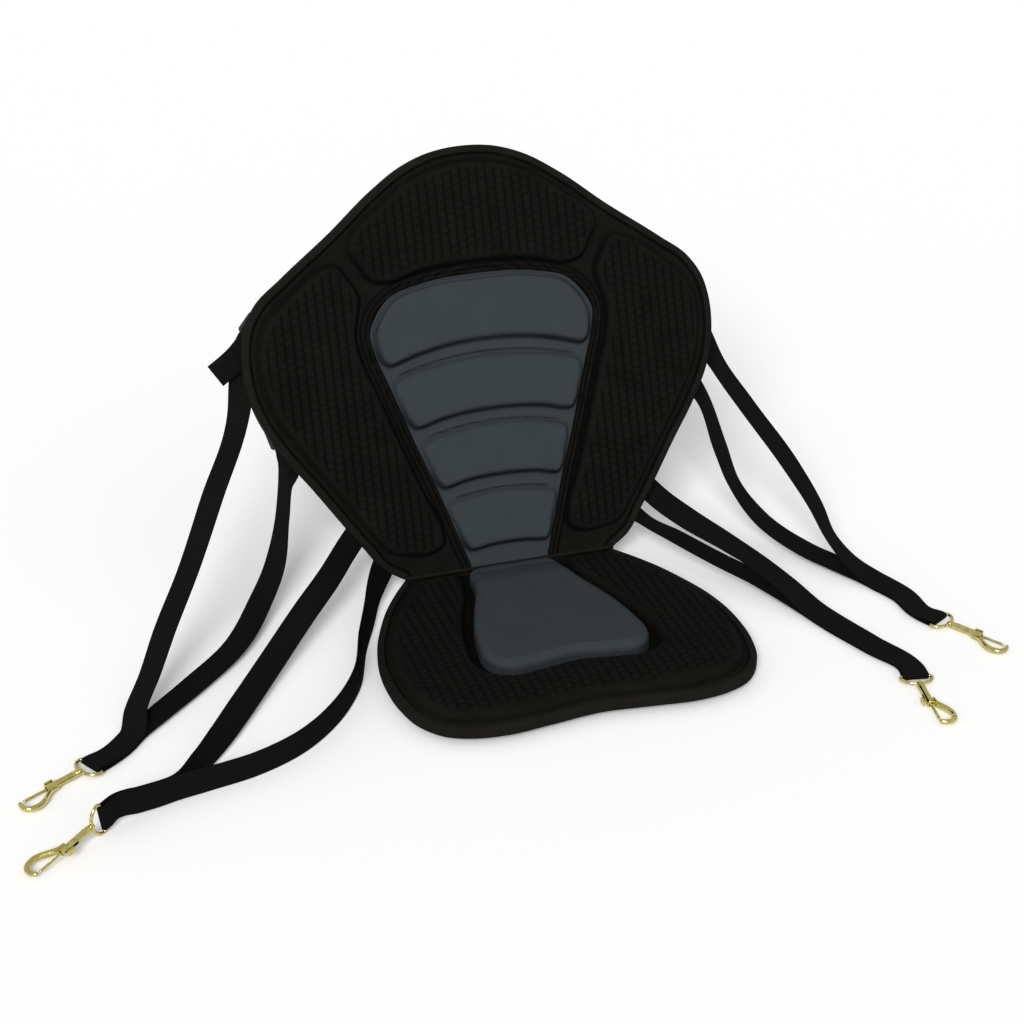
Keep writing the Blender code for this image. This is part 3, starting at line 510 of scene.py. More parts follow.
blackCloth = clothFinish("blackCloth", clothPlan["black"], 0.88)
greyCloth = clothFinish("greyStretchCloth", clothPlan["grey"], 0.86, cloud=0.06)
edgeTape = clothFinish("edgeTape", clothPlan["tape"], 0.82)
webbing = clothFinish("wovenWebbing", clothPlan["webbing"], 0.8, ribs=True, gloss=0.07)
thread = clothFinish("sewingThread", (0.012, 0.0115, 0.0105), 0.7, gloss=0.12)
foam = foamFinish()
plastic = plasticFinish()
brass = metalFinish("polishedBrass", (0.56, 0.47, 0.12), (0.86, 0.76, 0.30), 0.07, 0.16)
steel = metalFinish("springSteel", (0.42, 0.42, 0.43), (0.66, 0.66, 0.67), 0.18, 0.35)
print("finishes ready")


# Straps and their snaps

strapPlan = {
    "width": 25.0,
    "thick": 1.4,
    "lockPitch": 10.0,     # from one bar of a lock to the next
    "surface": 15.1,       # middle of the webbing behind the backrest's front
    "turn": 2.95,          # radius of the webbing's middle round a lock's bar
    "layerSpread": 1.2,    # half the distance between two layers' middles
    "eyeTurn": 2.6,        # radius of the webbing's middle round an eye
    "step": 0.7,
    "ribHeight": 0.16,
    "edgeRound": 0.6,
}


def panelSpot(across, up, heading):
    # a place on the rear of the backrest and the way that webbing leaves it
    heading = math.radians(heading)
    ahead = np.array([math.cos(heading), math.sin(heading)])
    aside = np.array([-ahead[1], ahead[0]])
    near = -strapPlan["surface"]

    def at(along, level, sideways=0.0):
        spot = np.array([across, up]) + along * ahead + sideways * aside
        return fromBack(spot[0], spot[1], level)

    def way(along, sideways, front):
        flat = along * ahead + sideways * aside
        return fromBack(flat[0], flat[1], front) - fromBack(0, 0, 0)

    middle = near - strapPlan["turn"]
    return {"at": at, "way": way, "near": near, "middle": middle, "far": middle - strapPlan["turn"]}


def halfTurn(centre, first, bulge, radius, steps):
    turn = np.linspace(0, np.pi, steps + 1)[:, None]
    return centre + radius * (np.cos(turn) * np.asarray(first) + np.sin(turn) * np.asarray(bulge))


def lockEnd(spot, tail):
    # from the loose tail under the outer bar, round the middle bar and out over the top
    at, way, near = spot["at"], spot["way"], spot["near"]
    run = [at(along, near - away, aside) for along, away, aside in tail]
    run += [at(strapPlan["lockPitch"] + 6, near), at(6, near), at(0, near)]
    run += list(halfTurn(at(0, spot["middle"]), way(0, 0, 1), way(-1, 0, 0), strapPlan["turn"], 10)[1:])
    run += [at(6, spot["far"]), at(strapPlan["lockPitch"] + 4, spot["far"])]
    return np.array(run), way(0, 1, 0)


def sewnEnd(spot):
    return np.array([spot["at"](along, spot["near"]) for along in (-36, -24, -12, 0)]), spot["way"](0, 1, 0)


def snapFrame(eye, heading, dip, eyeRoll, side):
    # eye: middle of the eye's bar; heading and dip: where the snap points; side 1: the hook bulges left
    heading, dip, roll = math.radians(heading), math.radians(dip), math.radians(eyeRoll)
    ahead = np.array([math.cos(heading) * math.cos(dip), math.sin(heading) * math.cos(dip), -math.sin(dip)])
    left = np.array([-math.sin(heading), math.cos(heading), 0])
    up = np.cross(ahead, left)
    bar = math.cos(roll) * left + math.sin(roll) * up
    return {"eye": np.array(eye, float), "ahead": ahead, "bar": bar, "side": side,
            "body": np.array([ahead, left * side, up]), "ring": np.array([ahead, bar, np.cross(ahead, bar)])}


def stopsOf(route):
    # places, and the directions of the webbing's width from its heading and tilt
    route = np.array(route, float)
    heading, tilt = np.radians(route[:, 3]), np.radians(route[:, 4])
    widths = np.stack([np.cos(heading) * np.cos(tilt), np.sin(heading) * np.cos(tilt), np.sin(tilt)], 1)
    return np.column_stack([route[:, :3], widths])


def strapHalf(end, free, joined):
    # the fixed end, the free stops and the stretch beside the other layer, as one smooth line
    centres, width = end
    width = width * np.sign(np.dot(width, free[0, 3:]))
    return np.vstack([np.column_stack([centres, np.tile(width, (len(centres), 1))]), free, joined])


def strapLines(plan):
    # both runs of one strap: the lower to the eye, and the upper from the backrest round the eye's bar
    snap = plan["snap"]
    upper, lower, joined = (stopsOf(plan[part]) for part in ("upper", "lower", "joined"))
    eyeWidth = snap["bar"] * np.sign(np.dot(snap["bar"], joined[-1, 3:]))
    close = [np.append(snap["eye"] - snap["ahead"] * along, eyeWidth) for along in (16, 5, 0)]
    guide = np.vstack([(upper[-1] + lower[-1]) / 2, joined, close])
    reach = runOf(guide[1:-1, :3])[-1]
    middle = smoothLine(guide, round(reach / 12) + 2, part=(1, len(guide) - 2))
    normals = unit(np.cross(np.gradient(middle[:, :3], axis=0), middle[:, 3:]))
    side = np.sign(np.dot(upper[-1, :3] - lower[-1, :3], normals[0]))
    toEye = np.linalg.norm(middle[:, :3] - snap["eye"], axis=1)
    spread = np.interp(toEye, [5, 20], [strapPlan["eyeTurn"], strapPlan["layerSpread"]]) * side
    shift = np.column_stack([normals * spread[:, None], np.zeros((len(middle), 3))])
    ends = {}
    for end in ("upper", "lower"):
        spot = panelSpot(*plan[end + "Spot"])
        ends[end] = lockEnd(spot, plan[end + "Tail"]) if end + "Tail" in plan else sewnEnd(spot)
    down = strapHalf(ends["lower"], lower, middle - shift)
    back = strapHalf(ends["upper"], upper, middle + shift)
    eyeNormal = np.cross(snap["ahead"], eyeWidth)
    turn = halfTurn(snap["eye"], -side * eyeNormal, snap["ahead"], strapPlan["eyeTurn"], 12)
    turn = np.column_stack([turn, np.tile(eyeWidth, (len(turn), 1))])
    line = smoothLine(np.vstack([down, turn, back[::-1]]), step=strapPlan["step"])
    toTurn = np.linalg.norm(line[:, :3] - turn[0, :3], axis=1)
    return line, int(np.argmin(toTurn))


def webbingRings(line):
    # a flat ribbon with rounded edges and a low rib across it at each rib pitch
    centres, along = line[:, :3], unit(np.gradient(line[:, :3], axis=0))
    widths, run = across(line[:, 3:], along), runOf(centres)
    half, thick = strapPlan["width"] / 2, strapPlan["thick"] / 2
    inner = half - strapPlan["edgeRound"]
    side = np.array([inner * k for k in (1, 0.5, 0, -0.5, -1)] + [-half + 0.15, -half, -half + 0.15])
    side = np.concatenate([side, -side[:5], [half - 0.15, half, half - 0.15]])
    level = np.array([1.0] * 5 + [0.6, 0, -0.6] + [-1.0] * 5 + [-0.6, 0, 0.6])
    rib = 1 + strapPlan["ribHeight"] / thick * (np.cos(2 * np.pi * run / clothPlan["rib"]) - 1)
    level = level[None] * rib[:, None] * thick
    rings = centres[:, None] + side[:, None] * widths[:, None] + level[..., None] * np.cross(along, widths)[:, None]
    return rings, together(run[:, None], side)


straps = {
    "upper_left": {
        "snap": snapFrame((-461, -209, 4), 210, 0, 0, 1),
        "upperSpot": (-228, 268, 228), "upperTail": [(62, 1, -8), (48, 1, -4), (34, 0.5, -1)],
        "upper": [(-247, 103, 227, 165, 22), (-256, 88, 190, 142, 0), (-303, 5, 140, 142, -8),
                  (-339, -47, 94, 138, -10), (-371, -88, 58, 138, -8), (-393, -121, 32, 136, -12),
                  (-411, -147, 15, 136, -10)],
        "lowerSpot": (-216, 161, -75), "lowerTail": [(36, 0, 0)],
        "lower": [(-211, 72, 135, 150, -5), (-214, 80, 112, 115, 0), (-223, 66, 74, 115, -15),
                  (-239, 38, 38, 135, -5), (-263, 3, 18, 145, 5), (-297, -51, 9, 140, 5), (-351, -108, 6, 135, 8),
                  (-391, -146, 5, 132, 4)],
        "joined": [(-420, -173, 4, 132, 0)],
        "lengths": (585, 531),
    },
    "lower_left": {
        "snap": snapFrame((-465, -308, 16.4), 217, 8.5, 90, -1),
        "upperSpot": (-118, 98, 241), "upperTail": [(36, 0, 0)],
        "upper": [(-139, 50, 69, 168, 30), (-160, 38, 50, 158, 40), (-197, -16, 43, 150, 40),
                  (-227, -51, 34, 150, 35), (-275, -110, 19, 150, 35), (-318, -172, 14, 147, 38),
                  (-347, -216, 14, 142, 55), (-374, -252, 14, 128, 75)],
        "lowerSpot": (-105, 45, 250),
        "lower": [(-117, 36, 38, 170, 25), (-130, 23, 25, 162, 40), (-148, -10, 19, 156, 60),
                  (-163, -48, 16, 155, 68), (-181, -92, 14, 165, 75), (-205, -160, 14, 155, 80),
                  (-237, -208, 14, 140, 82), (-279, -246, 14, 122, 85), (-324, -267, 14, 108, 87),
                  (-366, -276, 14, 98, 87)],
        "joined": [(-402, -282, 14, 100, 87), (-432, -290, 15, 112, 87)],
        "lengths": (603, 596),
    },
    "upper_right": {
        "snap": snapFrame((380, -216, 4), -60, 0, 0, -1),
        "upperSpot": (221, 252, -62), "upperTail": [(34, 0, 0)],
        "upper": [(241, 96, 214, 12, 15), (259, 84, 177, 25, 0), (274, 34, 146, 25, 0), (302, -21, 98, 25, 0),
                  (317, -57, 64, 30, -8), (325, -80, 38, 38, -12), (338, -99, 19, 35, -5)],
        "lowerSpot": (206, 198, -64), "lowerTail": [(34, 0, 0)],
        "lower": [(224, 80, 168, 20, 10), (238, 72, 146, 34, -5), (253, 48, 92, 36, 0), (264, 33, 56, 38, -8),
                  (280, 0, 29, 32, 0), (310, -54, 12, 30, 8), (334, -92, 8, 28, 10)],
        "joined": [(353, -126, 7, 25, 10), (368, -163, 5, 18, 6)],
        "lengths": (523, 500),
    },
    "lower_right": {
        "snap": snapFrame((308, -305, 4), 259, 0, 0, 1),
        "upperSpot": (122, 118, -58), "upperTail": [(34, 0, 0)],
        "upper": [(140, 50, 94, 30, 25), (155, 45, 76, 28, 30), (172, 34, 57, 20, 30), (188, -16, 51, 20, 28),
                  (214, -73, 44, 30, 12), (236, -101, 32, 30, 5), (251, -130, 22, 22, 6)],
        "lowerSpot": (112, 75, -52),
        "lower": [(126, 38, 66, 30, 20), (137, 38, 52, 28, 0), (155, 27, 35, 30, -8), (177, -14, 30, 36, 0),
                  (209, -65, 21, 34, 2), (235, -100, 14, 30, 4), (253, -135, 10, 22, 8)],
        "joined": [(268, -172, 8, 18, 12), (293, -243, 6, 14, 8)],
        "lengths": (519, 480),
    },
}


def makeStrap(place, plan):
    line, turnStart = strapLines(plan)
    rings, uv = webbingRings(line)
    upperLength, lowerLength = plan["lengths"]
    for run, rows, length in (("lower", slice(0, turnStart + 1), lowerLength),
                              ("upper", slice(turnStart, len(line)), upperLength)):
        piece = makePiece(place + "_strap_" + run + "Run", [carried(rings[rows], uv[rows])], webbing,
                          stands=(place + "_strap",))
        path = settle(line[rows, :3])
        path = path if run == "lower" else path[::-1]
        print("  ", piece.name, "is", round(runOf(path)[-1], 3), "m long")


snapPlan = {
    "eyeWire": 1.6, "eyeHalf": 15.2, "eyeDepth": 13.0, "eyeCorner": 1.9,
    "bore": 2.35, "barrelStart": 16.3, "barrelEnd": 49.5,
    "slotStart": 32.0, "slotEnd": 46.5, "slotHalf": 1.3,
    "hookLine": [(41, 4.8), (49, 5.4), (55, 9), (61, 13), (68, 15.4), (74, 14.8), (78.6, 11.5), (79.8, 6),
                 (78.6, 1.2), (77.6, -1.2)],
    "hookThick": [1.5, 1.8, 2.0, 2.2, 2.4, 2.5, 2.4, 2.3, 2.1, 1.9],
    "hookBroad": [2.6, 3.4, 3.6, 3.5, 3.2, 2.9, 2.6, 2.4, 2.2, 2.0],
    "boltTip": 74.6, "boltRod": 1.3, "pinHole": 1.75, "slotRound": 1.2,
    "springStart": 20.4, "springEnd": 28.9, "coil": 1.75, "springWire": 0.3,
    "knobStart": 39.5, "knobLength": 8.0, "knobHalf": 2.3, "knobLow": 5.2, "knobHigh": 7.6,
}


def turnedProfile(profile, sides):
    # a profile of (along, radius) turned about the axis
    turn = np.arange(sides) * 2 * np.pi / sides
    profile = np.array(profile, float)
    along, radius = profile[:, :1], profile[:, 1:]
    return together(along, radius * np.cos(turn), radius * np.sin(turn))


def placed(part, snap, frame="body"):
    # turns a part from the snap's own axes into place
    part["points"] = snap["eye"] + part["points"] @ snap[frame]
    if np.linalg.det(snap[frame]) < 0:
        part["quads"] = part["quads"][:, ::-1]
        part["caps"] = [ring[::-1] for ring in part["caps"]]
    return part


def makeSnapEye(place, snap):
    # a wire ring with one straight side, its boss with a raised collar, and the swivel pin
    p = snapPlan
    turn = np.linspace(-np.pi / 2, np.pi / 2, 15)
    bow = np.stack([p["eyeCorner"] + (p["eyeDepth"] - p["eyeCorner"]) * np.cos(turn), p["eyeHalf"] * np.sin(turn),
                    0 * turn], 1)
    straight = p["eyeHalf"] - 3
    bend = (p["eyeCorner"] / 4, p["eyeHalf"] - p["eyeCorner"] * 0.6)
    bar = [(bend[0], bend[1], 0), (0, straight, 0), (0, 0, 0), (0, -straight, 0), (bend[0], -bend[1], 0)]
    ring, uv = tube(smoothLine(np.vstack([bow, bar]), 120, closed=True), p["eyeWire"], 14, closed=True)
    boss = [(11.0, 1.2), (11.5, 2.3), (12.3, 2.9), (13.1, 3.0), (13.5, 2.6), (13.9, 2.6), (14.3, 3.0), (15.3, 3.0),
            (15.8, 2.7), (16.0, 2.2), (16.0, 1.4), (18.3, 1.4), (18.3, 1.8), (18.6, 1.95), (19.5, 1.95), (19.8, 1.6)]
    parts = [placed(carried(ring, uv, closed=True), snap, "ring"),
             placed(carried(turnedProfile(boss, 28)), snap, "ring")]
    makePiece(place + "_snapEye", parts, brass, stands=(place + "_snap_eye",), sharp=40)


def barrelRings(p):
    # a C-shaped section carried along the axis: outer arc, then bore, with a slot that opens towards the knob
    along = [p["barrelStart"], 16.4, 16.8, 17.3, 18.2, 18.6, 19.0, 20.0, 20.5, 21, 26]
    outer = [3.0, 3.3, 3.5, 3.55, 3.55, 3.2, 3.2, 3.5, 3.6, 3.55, 3.5]
    bore = [p["pinHole"]] * 4
    start, end, bend, shut = p["slotStart"], p["slotEnd"], p["slotRound"], 0.01
    along += [*np.linspace(start - shut, start + bend, 5), *np.linspace(34, 45, 6),
              *np.linspace(end - bend, end + shut, 5), 47.5, 48.6, 49.2, p["barrelEnd"]]
    count = len(along)
    outer += [3.5] * (count - len(outer) - 3) + [3.55, 3.5, 3.1]
    bore += [p["bore"]] * (count - len(bore))
    along, outer, bore = (np.array(column) for column in (along, outer, bore))
    half = shut + (p["slotHalf"] - shut) * shoulder(np.minimum(along - start, end - along), bend)
    turn = np.linspace(0, 1, 33)[None]
    outGap, inGap = np.arcsin(half / outer)[:, None], np.arcsin(half / bore)[:, None]
    outTurn = outGap + (2 * np.pi - 2 * outGap) * turn
    inTurn = inGap + (2 * np.pi - 2 * inGap) * turn[:, ::-1]
    angle = np.hstack([outTurn, inTurn])
    radius = np.repeat(np.stack([outer, bore], 1), turn.size, axis=1)
    # angle 0 faces the knob, against the hook's bulge
    return together(along[:, None], -radius * np.cos(angle), -radius * np.sin(angle))


def makeSnapBody(place, snap):
    p = snapPlan
    barrel = carried(barrelRings(p))
    rows = smoothLine(np.column_stack([p["hookLine"], np.zeros(10), p["hookThick"], p["hookBroad"]]), 64)
    closing = np.sqrt(np.clip(1 - (np.arange(64)[::-1] / 3.0 - 1).clip(-1, 0) ** 2, 0.04, 1))
    thick, broad = rows[:, 3] * closing, rows[:, 4] * closing
    hook, uv = tube(rows[:, :3], broad, 20, start=(0, 0, 1), flat=thick / broad)
    parts = [placed(barrel, snap), placed(carried(hook, uv), snap)]
    makePiece(place + "_snapBody", parts, brass, place + "_snap", (place + "_snap_body",), sharp=40)


def makeSnapBolt(place, snap):
    # the bolt's head and rod, the stem through the slot and the ridged thumb knob
    p = snapPlan
    rod = [(38, 1.5), (38.3, 2.0), (47.7, 2.0), (48, p["boltRod"]), (p["boltTip"] - 0.8, p["boltRod"]),
           (p["boltTip"] - 0.2, 0.9), (p["boltTip"], 0.4)]
    s, t = np.meshgrid(np.linspace(-1, 1, 41), np.linspace(-1, 1, 17))
    length, half = p["knobLength"] / 2, p["knobHalf"]
    grid = np.stack([p["knobStart"] + length + s * length, t * half], -1)
    inset = np.minimum(length * (1 - np.abs(s)), half * (1 - np.abs(t)))
    grooves = 0.35 * (0.5 - 0.5 * np.cos(s * 5 * 2 * np.pi)) * ease(inset, 0, 0.5)
    top = p["knobHigh"] - 0.8 + 0.8 * shoulder(inset, 0.9) - grooves

    def outOfSlot(along, wide, high):
        return together(along, -high, wide)

    knob = slab(grid, top, p["knobLow"], outOfSlot)
    stemGrid = np.stack(np.meshgrid([41.0, 46.0], [-1.0, 1.0]), -1)
    stem = slab(stemGrid, np.full((2, 2), p["knobLow"] + 0.3), 1.0, outOfSlot)
    parts = [placed(carried(turnedProfile(rod, 20)), snap), placed(knob, snap), placed(stem, snap)]
    makePiece(place + "_snapBolt", parts, brass, place + "_bolt", (place + "_snap_bolt",), sharp=40)


def makeSnapSpring(place, snap):
    # three turns of wire inside the barrel, behind the bolt
    p = snapPlan
    turn = np.linspace(0, 3 * 2 * np.pi, 90)
    along = np.linspace(p["springStart"], p["springEnd"], 90)
    coil = np.stack([along, p["coil"] * np.cos(turn), p["coil"] * np.sin(turn)], 1)
    wire, uv = tube(coil, p["springWire"], 8, start=(1, 0, 0))
    makePiece(place + "_snapSpring", [placed(carried(wire, uv), snap)], steel, place + "_snap",
              (place + "_snap_spring",))


for place, plan in straps.items():
    for make in (makeSnapEye, makeSnapBody, makeSnapBolt, makeSnapSpring):
        make(place, plan["snap"])
    makeStrap(place, plan)
print("straps and snaps made")


# The backrest's front

backPlan = {
    "outline": [(114, -1.2), (132, 11), (150, 36), (194, 102), (222, 143), (239, 175), (249, 215), (249, 245),
                (243, 270), (229, 292), (200, 315), (145, 355), (98, 392), (64, 413), (32, 424), (0, 427)],
    "topPad": [(0, 411), (32, 407), (62, 397), (100, 371), (126, 350), (131, 338), (122, 320), (110, 303), (97, 300),
               (60, 308), (0, 312)],
    "sidePad": [(147, 322), (165, 317), (197, 294), (221, 272), (232, 246), (232, 218), (224, 184), (203, 146),
                (165, 88), (136, 44), (122, 27), (104, 22), (80, 22), (69, 28), (68, 42), (82, 80), (100, 132),
                (119, 190), (131, 226), (134, 250), (129, 272), (126, 286), (134, 305)],
    "rim": [(0, 308), (60, 304), (98, 293), (118, 276), (128, 250), (125, 228), (113, 190), (94, 132), (75, 78),
            (57, 20), (51, 2)],
    "rimInner": [(0, 299), (58, 296), (94, 285), (110, 268), (119, 249), (116, 230), (105, 196), (86, 137), (67, 79),
                 (49, 21), (43, 0.3)],
    # heights from the backrest's front: the mesh's back, the grey panel's bed, the rim and the pads
    "skin": -5.8, "recess": -3.8, "rimRise": 3.8, "padRise": 8.0, "padShoulder": 7.5, "crown": 0.9,
    "textureDepth": 1.3, "grid": 1.38,
}


def brickRelief(x, y, column, brick, cross=1.0):
    # rounded bricks in columns, every other column shifted: 0 on a brick's top, 1 in the joints
    turn = np.floor(x / column)
    u = (x / column - turn) * 2 - 1
    v = ((y / brick + 0.5 * (turn % 2)) % 1) * 2 - 1
    return ease((u**4 + (cross * v) ** 4) ** 0.25, 0.58, 1.0)


def closedAt(path, level):
    # an open line from fold corner to fold corner, closed far beyond the fold
    return np.vstack([path, (path[-1, 0], level), (path[0, 0], level)])


def insetLine(path, distance):
    return path + inwardOf(path) * distance


def nearestTo(line, *spots):
    return [int(np.argmin(np.linalg.norm(line - spot, axis=1))) for spot in spots]


def edgeGrid(edge, cut, step, forward=False):
    # a grid inside an open edge line that is cut at its two far corners; the fourth side lies along the fold
    start, middle, end = edge[:cut[0] + 1], edge[cut[0]:cut[1] + 1], edge[cut[1]:]
    if forward:
        return fourSided(middle, end, np.array([start[0], end[-1]]), start[::-1], step)
    return fourSided(np.array([end[-1], start[0]]), start, middle[::-1], end[::-1], step)


def panelGrid(outline, step, inset=panels["inset"]):
    # a panel's flat grid, and each point's distance from the outline's three free sides
    path = smoothLine(overCentre(outline), step=3.0)
    forward = path[len(path) // 2, 1] < 0
    side = (-1, 1) if forward else (1, 1)
    path, corner = path[::-1] if forward else path, np.multiply(outline[panels["corner"]], side)
    grid = edgeGrid(insetLine(path, inset), nearestTo(path, corner, corner * (-1, 1)), step, forward)
    x, y = grid[..., 0], grid[..., 1]
    return grid, x, y, depthInside(closedAt(path, 80 if forward else -70), x, y)


def padForm(depth, rise, width):
    # soft foot outside the edge, then a quarter circle up to the pad's top
    return rise * shoulder(depth + 0.7, width) * ease(depth, -1.3, 1.2) ** 0.6


def makeBackrestFront():
    p = backPlan
    grid, x, y, fromEdge = panelGrid(p["outline"], p["grid"])
    height = 0.8 * ridge(fromEdge, 12.0, 3.4) - 1.8 * ridge(fromEdge, 8.4, 1.9)
    # painted shade in the groove inside the edge tape
    seamAndPaintedShade = ridge(fromEdge, 8.3, 1.6)
    pads = [wholeLoop(p["topPad"])] + [smoothLine(np.array(p["sidePad"]) * (side, 1), closed=True, step=3.0)
                                       for side in (1, -1)]
    depth = np.max([depthInside(loop, x, y) for loop in pads], axis=0)
    rim = depthInside(closedAt(smoothLine(overCentre(p["rim"][::-1]), step=3.0), -70), x, y)
    texture = ease(depth, 3.5, 7.5)
    raised = padForm(depth, p["padRise"], p["padShoulder"]) + p["crown"] * (1 - np.exp(-np.clip(depth, 0, 99) / 18))
    joint = texture * brickRelief(x, y, clothPlan["column"], clothPlan["brick"], 0.86)
    raised -= p["textureDepth"] * joint
    height = np.where(depth > -1.3, np.maximum(raised, height * ease(-depth, 0, 1.3)), height)
    nearRim = 0.35 + 0.65 * ease(fromEdge, 22, 40)
    height -= 1.8 * ridge(depth, -2.0, 2.4) * (rim < 0) * nearRim
    # painted shade at the foot of the pads towards the rim and in the brick joints
    seamAndPaintedShade = np.max([seamAndPaintedShade * (depth < 0), ridge(depth, -1.2, 2.6) * nearRim, 0.85 * joint], axis=0)
    double = p["rimRise"] * np.maximum(ridge(rim, 2.4, 3.0), ridge(rim, 7.2, 3.0))
    height += (double + p["recess"] * ease(rim, 8.4, 11.0) - height) * ease(rim, -1.4, 0.8)
    # painted shade in the grooves outside the rim, between its two beads and at the grey panel's edge
    seamAndPaintedShade = np.maximum(seamAndPaintedShade * (rim < -0.5), np.max([ridge(rim, -0.6, 1.9), 0.5 * ridge(rim, 4.8, 1.9),
                                                   ridge(rim, 10.0, 1.9)], axis=0))
    piece = makePiece("backrest_mouldedFront", [slab(grid, height, p["skin"], fromBack, seamAndPaintedShade)], blackCloth,
                      stands=("backrest_shell",), sharp=75)


greyBackPlan = {
    "lobes": [
        [(0, 296), (54, 293), (90, 282), (106, 266), (113, 249), (112, 232), (108, 221), (102, 216.5), (93, 218.5),
         (80, 222.5), (55, 228), (28, 231.5), (0, 232.5)],
        [(0, 215), (48, 211), (86, 204), (98, 198.5), (100, 190), (94, 172), (88, 157), (83, 151), (75, 151.5),
         (60, 155.5), (36, 159.3), (0, 161)],
        [(0, 145), (38, 142), (66, 137), (77, 132), (77, 124), (72, 108), (66, 92), (61, 86.5), (53, 87.5),
         (40, 90.5), (22, 92.4), (0, 93)],
        [(0, 75), (30, 73), (48, 70), (57, 65.5), (57, 58), (51, 42), (45, 25), (41, 19.5), (33, 19.5), (20, 21.3),
         (0, 22)],
    ],
    "creases": [(219, 12.5, 90), (148, 8, 68), (78, 5, 50)],    # middle height, droop, half width
    # heights from the backrest's front: between lobes, the mesh's back, and a lobe's upper and lower edge
    "base": -0.6, "low": -3.5, "thin": 3.6, "full": 11.0, "grid": 1.14,
}


def makeGreyBack():
    # each lobe starts thin at its upper line and swells to a full lower edge that hangs over the next
    p = greyBackPlan
    inner = smoothLine(overCentre(backPlan["rimInner"][::-1]), step=2.0)
    edge = insetLine(inner, 0.35)
    grid = edgeGrid(edge, nearestTo(edge, (104, 277), (-104, 277)), p["grid"])
    x, y = grid[..., 0], grid[..., 1]
    height, seamAndPaintedShade = np.full(x.shape, p["base"]), np.zeros(x.shape)
    for lobe in p["lobes"]:
        ups = [up for _, up in lobe]
        depth = depthInside(wholeLoop(lobe, 2.5), x, y)
        down = np.clip((max(ups) - y) / (max(ups) - min(ups)), 0, 1)
        swell = p["thin"] + (p["full"] - p["thin"]) * down
        width = 8.5 - 3.5 * ease(down, 0.5, 0.95)
        form = (swell - p["base"]) * shoulder(depth + 0.5, width) * ease(depth, -0.9, 1.1) ** 0.6
        height = np.maximum(height, p["base"] + form + 0.2 * np.sin(x / 23 + y / 31) * ease(depth, 4, 16))
        # painted shade round each lobe, deepest under its lower edge and in a band just inside it
        seamAndPaintedShade = np.maximum(seamAndPaintedShade * (depth < 0.5), (0.2 + 0.8 * ease(down, 0.55, 0.95))
                          * np.maximum(ridge(depth, -1.4, 3.4), 0.2 * (depth > 0) * (1 - ease(depth, 0, 8))))
    for middle, droop, half in p["creases"]:
        line = y - (middle - droop * (x / half) ** 2)
        span = ease(half * 1.08 - np.abs(x), 0, 6)
        height += (0.7 * ridge(line, 2.6, 2.2) - 1.3 * ridge(line, 0, 1.5)) * span
        # painted shade along each crease
        seamAndPaintedShade = np.maximum(seamAndPaintedShade, 0.75 * ridge(line, -0.1, 1.3) * span)
    margin = depthInside(closedAt(edge, -70), x, y)
    aroundTop = ease(y, 236, 250)
    height -= 1.1 * ridge(margin, 5.6, 1.7) * aroundTop
    # painted shade in the groove round the top of the panel
    seamAndPaintedShade = np.maximum(seamAndPaintedShade, 0.6 * ridge(margin, 5.6, 1.3) * aroundTop)
    piece = makePiece("backrest_greyPanel", [slab(grid, height, p["low"], fromBack, seamAndPaintedShade)], greyCloth,
                      stands=("backrest_centre_pad",), sharp=80)


# The seat's top

seatPlan = {
    "outline": [(114, 1.2), (128, -19), (146, -49), (161, -82), (172, -112), (179, -145), (181, -178), (178, -214),
                (168, -247), (150, -269), (125, -280), (95, -284), (50, -280), (0, -275)],
    "pad": [(0, -8), (70, -8), (94, -9), (109, -16), (124, -38), (144, -75), (159, -112), (167, -150), (169, -180),
            (166, -212), (156, -240), (140, -258), (116, -267), (89, -270), (48, -267), (0, -262)],
    "channel": [(0, 12), (52, 12), (57, -8), (60, -32), (65, -53), (76, -83), (86, -116), (92, -150), (94, -176),
                (87, -199), (70, -211), (40, -210), (0, -204)],
    "grey": [(0, -5), (30, -5), (42, -6.5), (48, -13), (50, -32), (55, -55), (66, -86), (76, -118), (82, -150),
             (84, -174), (78, -192), (66, -202), (40, -201), (0, -195)],
    # heights from the floor, then the moulded texture
    "flange": 17.0, "padTop": 26.0, "floor": 13.8, "low": 8.9, "greyTop": 30.0, "grid": 1.15,
    "textureDepth": 1.1, "column": 9.4, "brick": 8.5, "greyGrid": 1.25, "greyRim": 20.5,
}


def makeSeatTop():
    p = seatPlan
    grid, x, y, fromEdge = panelGrid(p["outline"], p["grid"])
    height = p["flange"] - 1.6 * ridge(fromEdge, 8.4, 1.8) + 0.5 * ridge(fromEdge, 11.4, 2.4)
    # painted shade in the groove inside the edge tape
    seamAndPaintedShade = 0.9 * ridge(fromEdge, 8.3, 1.5)
    depth = depthInside(wholeLoop(p["pad"]), x, y)
    channel = depthInside(wholeLoop(p["channel"]), x, y)
    width = 13 + 15 * ease(-y, 205, 262)
    rise = p["padTop"] - p["flange"]
    texture = ease(depth, 6, 11) * ease(-channel, 2.5, 6) * ease(y, -262, -252)
    raised = p["flange"] + padForm(depth, rise, width) + 0.7 * ease(depth, 8, 30)
    joint = texture * brickRelief(x, y, p["column"], p["brick"])
    raised -= p["textureDepth"] * joint
    height = np.where(depth > -1.3, np.maximum(raised, height), height)
    inner = 1 - shoulder(np.clip(-channel + 0.5, 0, 99), 7.5) * ease(-channel, -1.5, 0.8) ** 0.6
    height = height - (height - p["floor"]) * inner * (y < 6)
    # painted shade at the pads' foot, in the brick joints and down in the channel
    seamAndPaintedShade = np.max([seamAndPaintedShade, 0.4 * ridge(depth, -0.8, 2.0), 0.7 * joint * (channel < -2),
                   0.7 * ease(inner, 0.35, 0.9) * (y < 6)], axis=0)
    piece = makePiece("seat_mouldedTop", [slab(grid, height, p["low"], together, seamAndPaintedShade)], blackCloth,
                      stands=("seat_shell",), sharp=75)


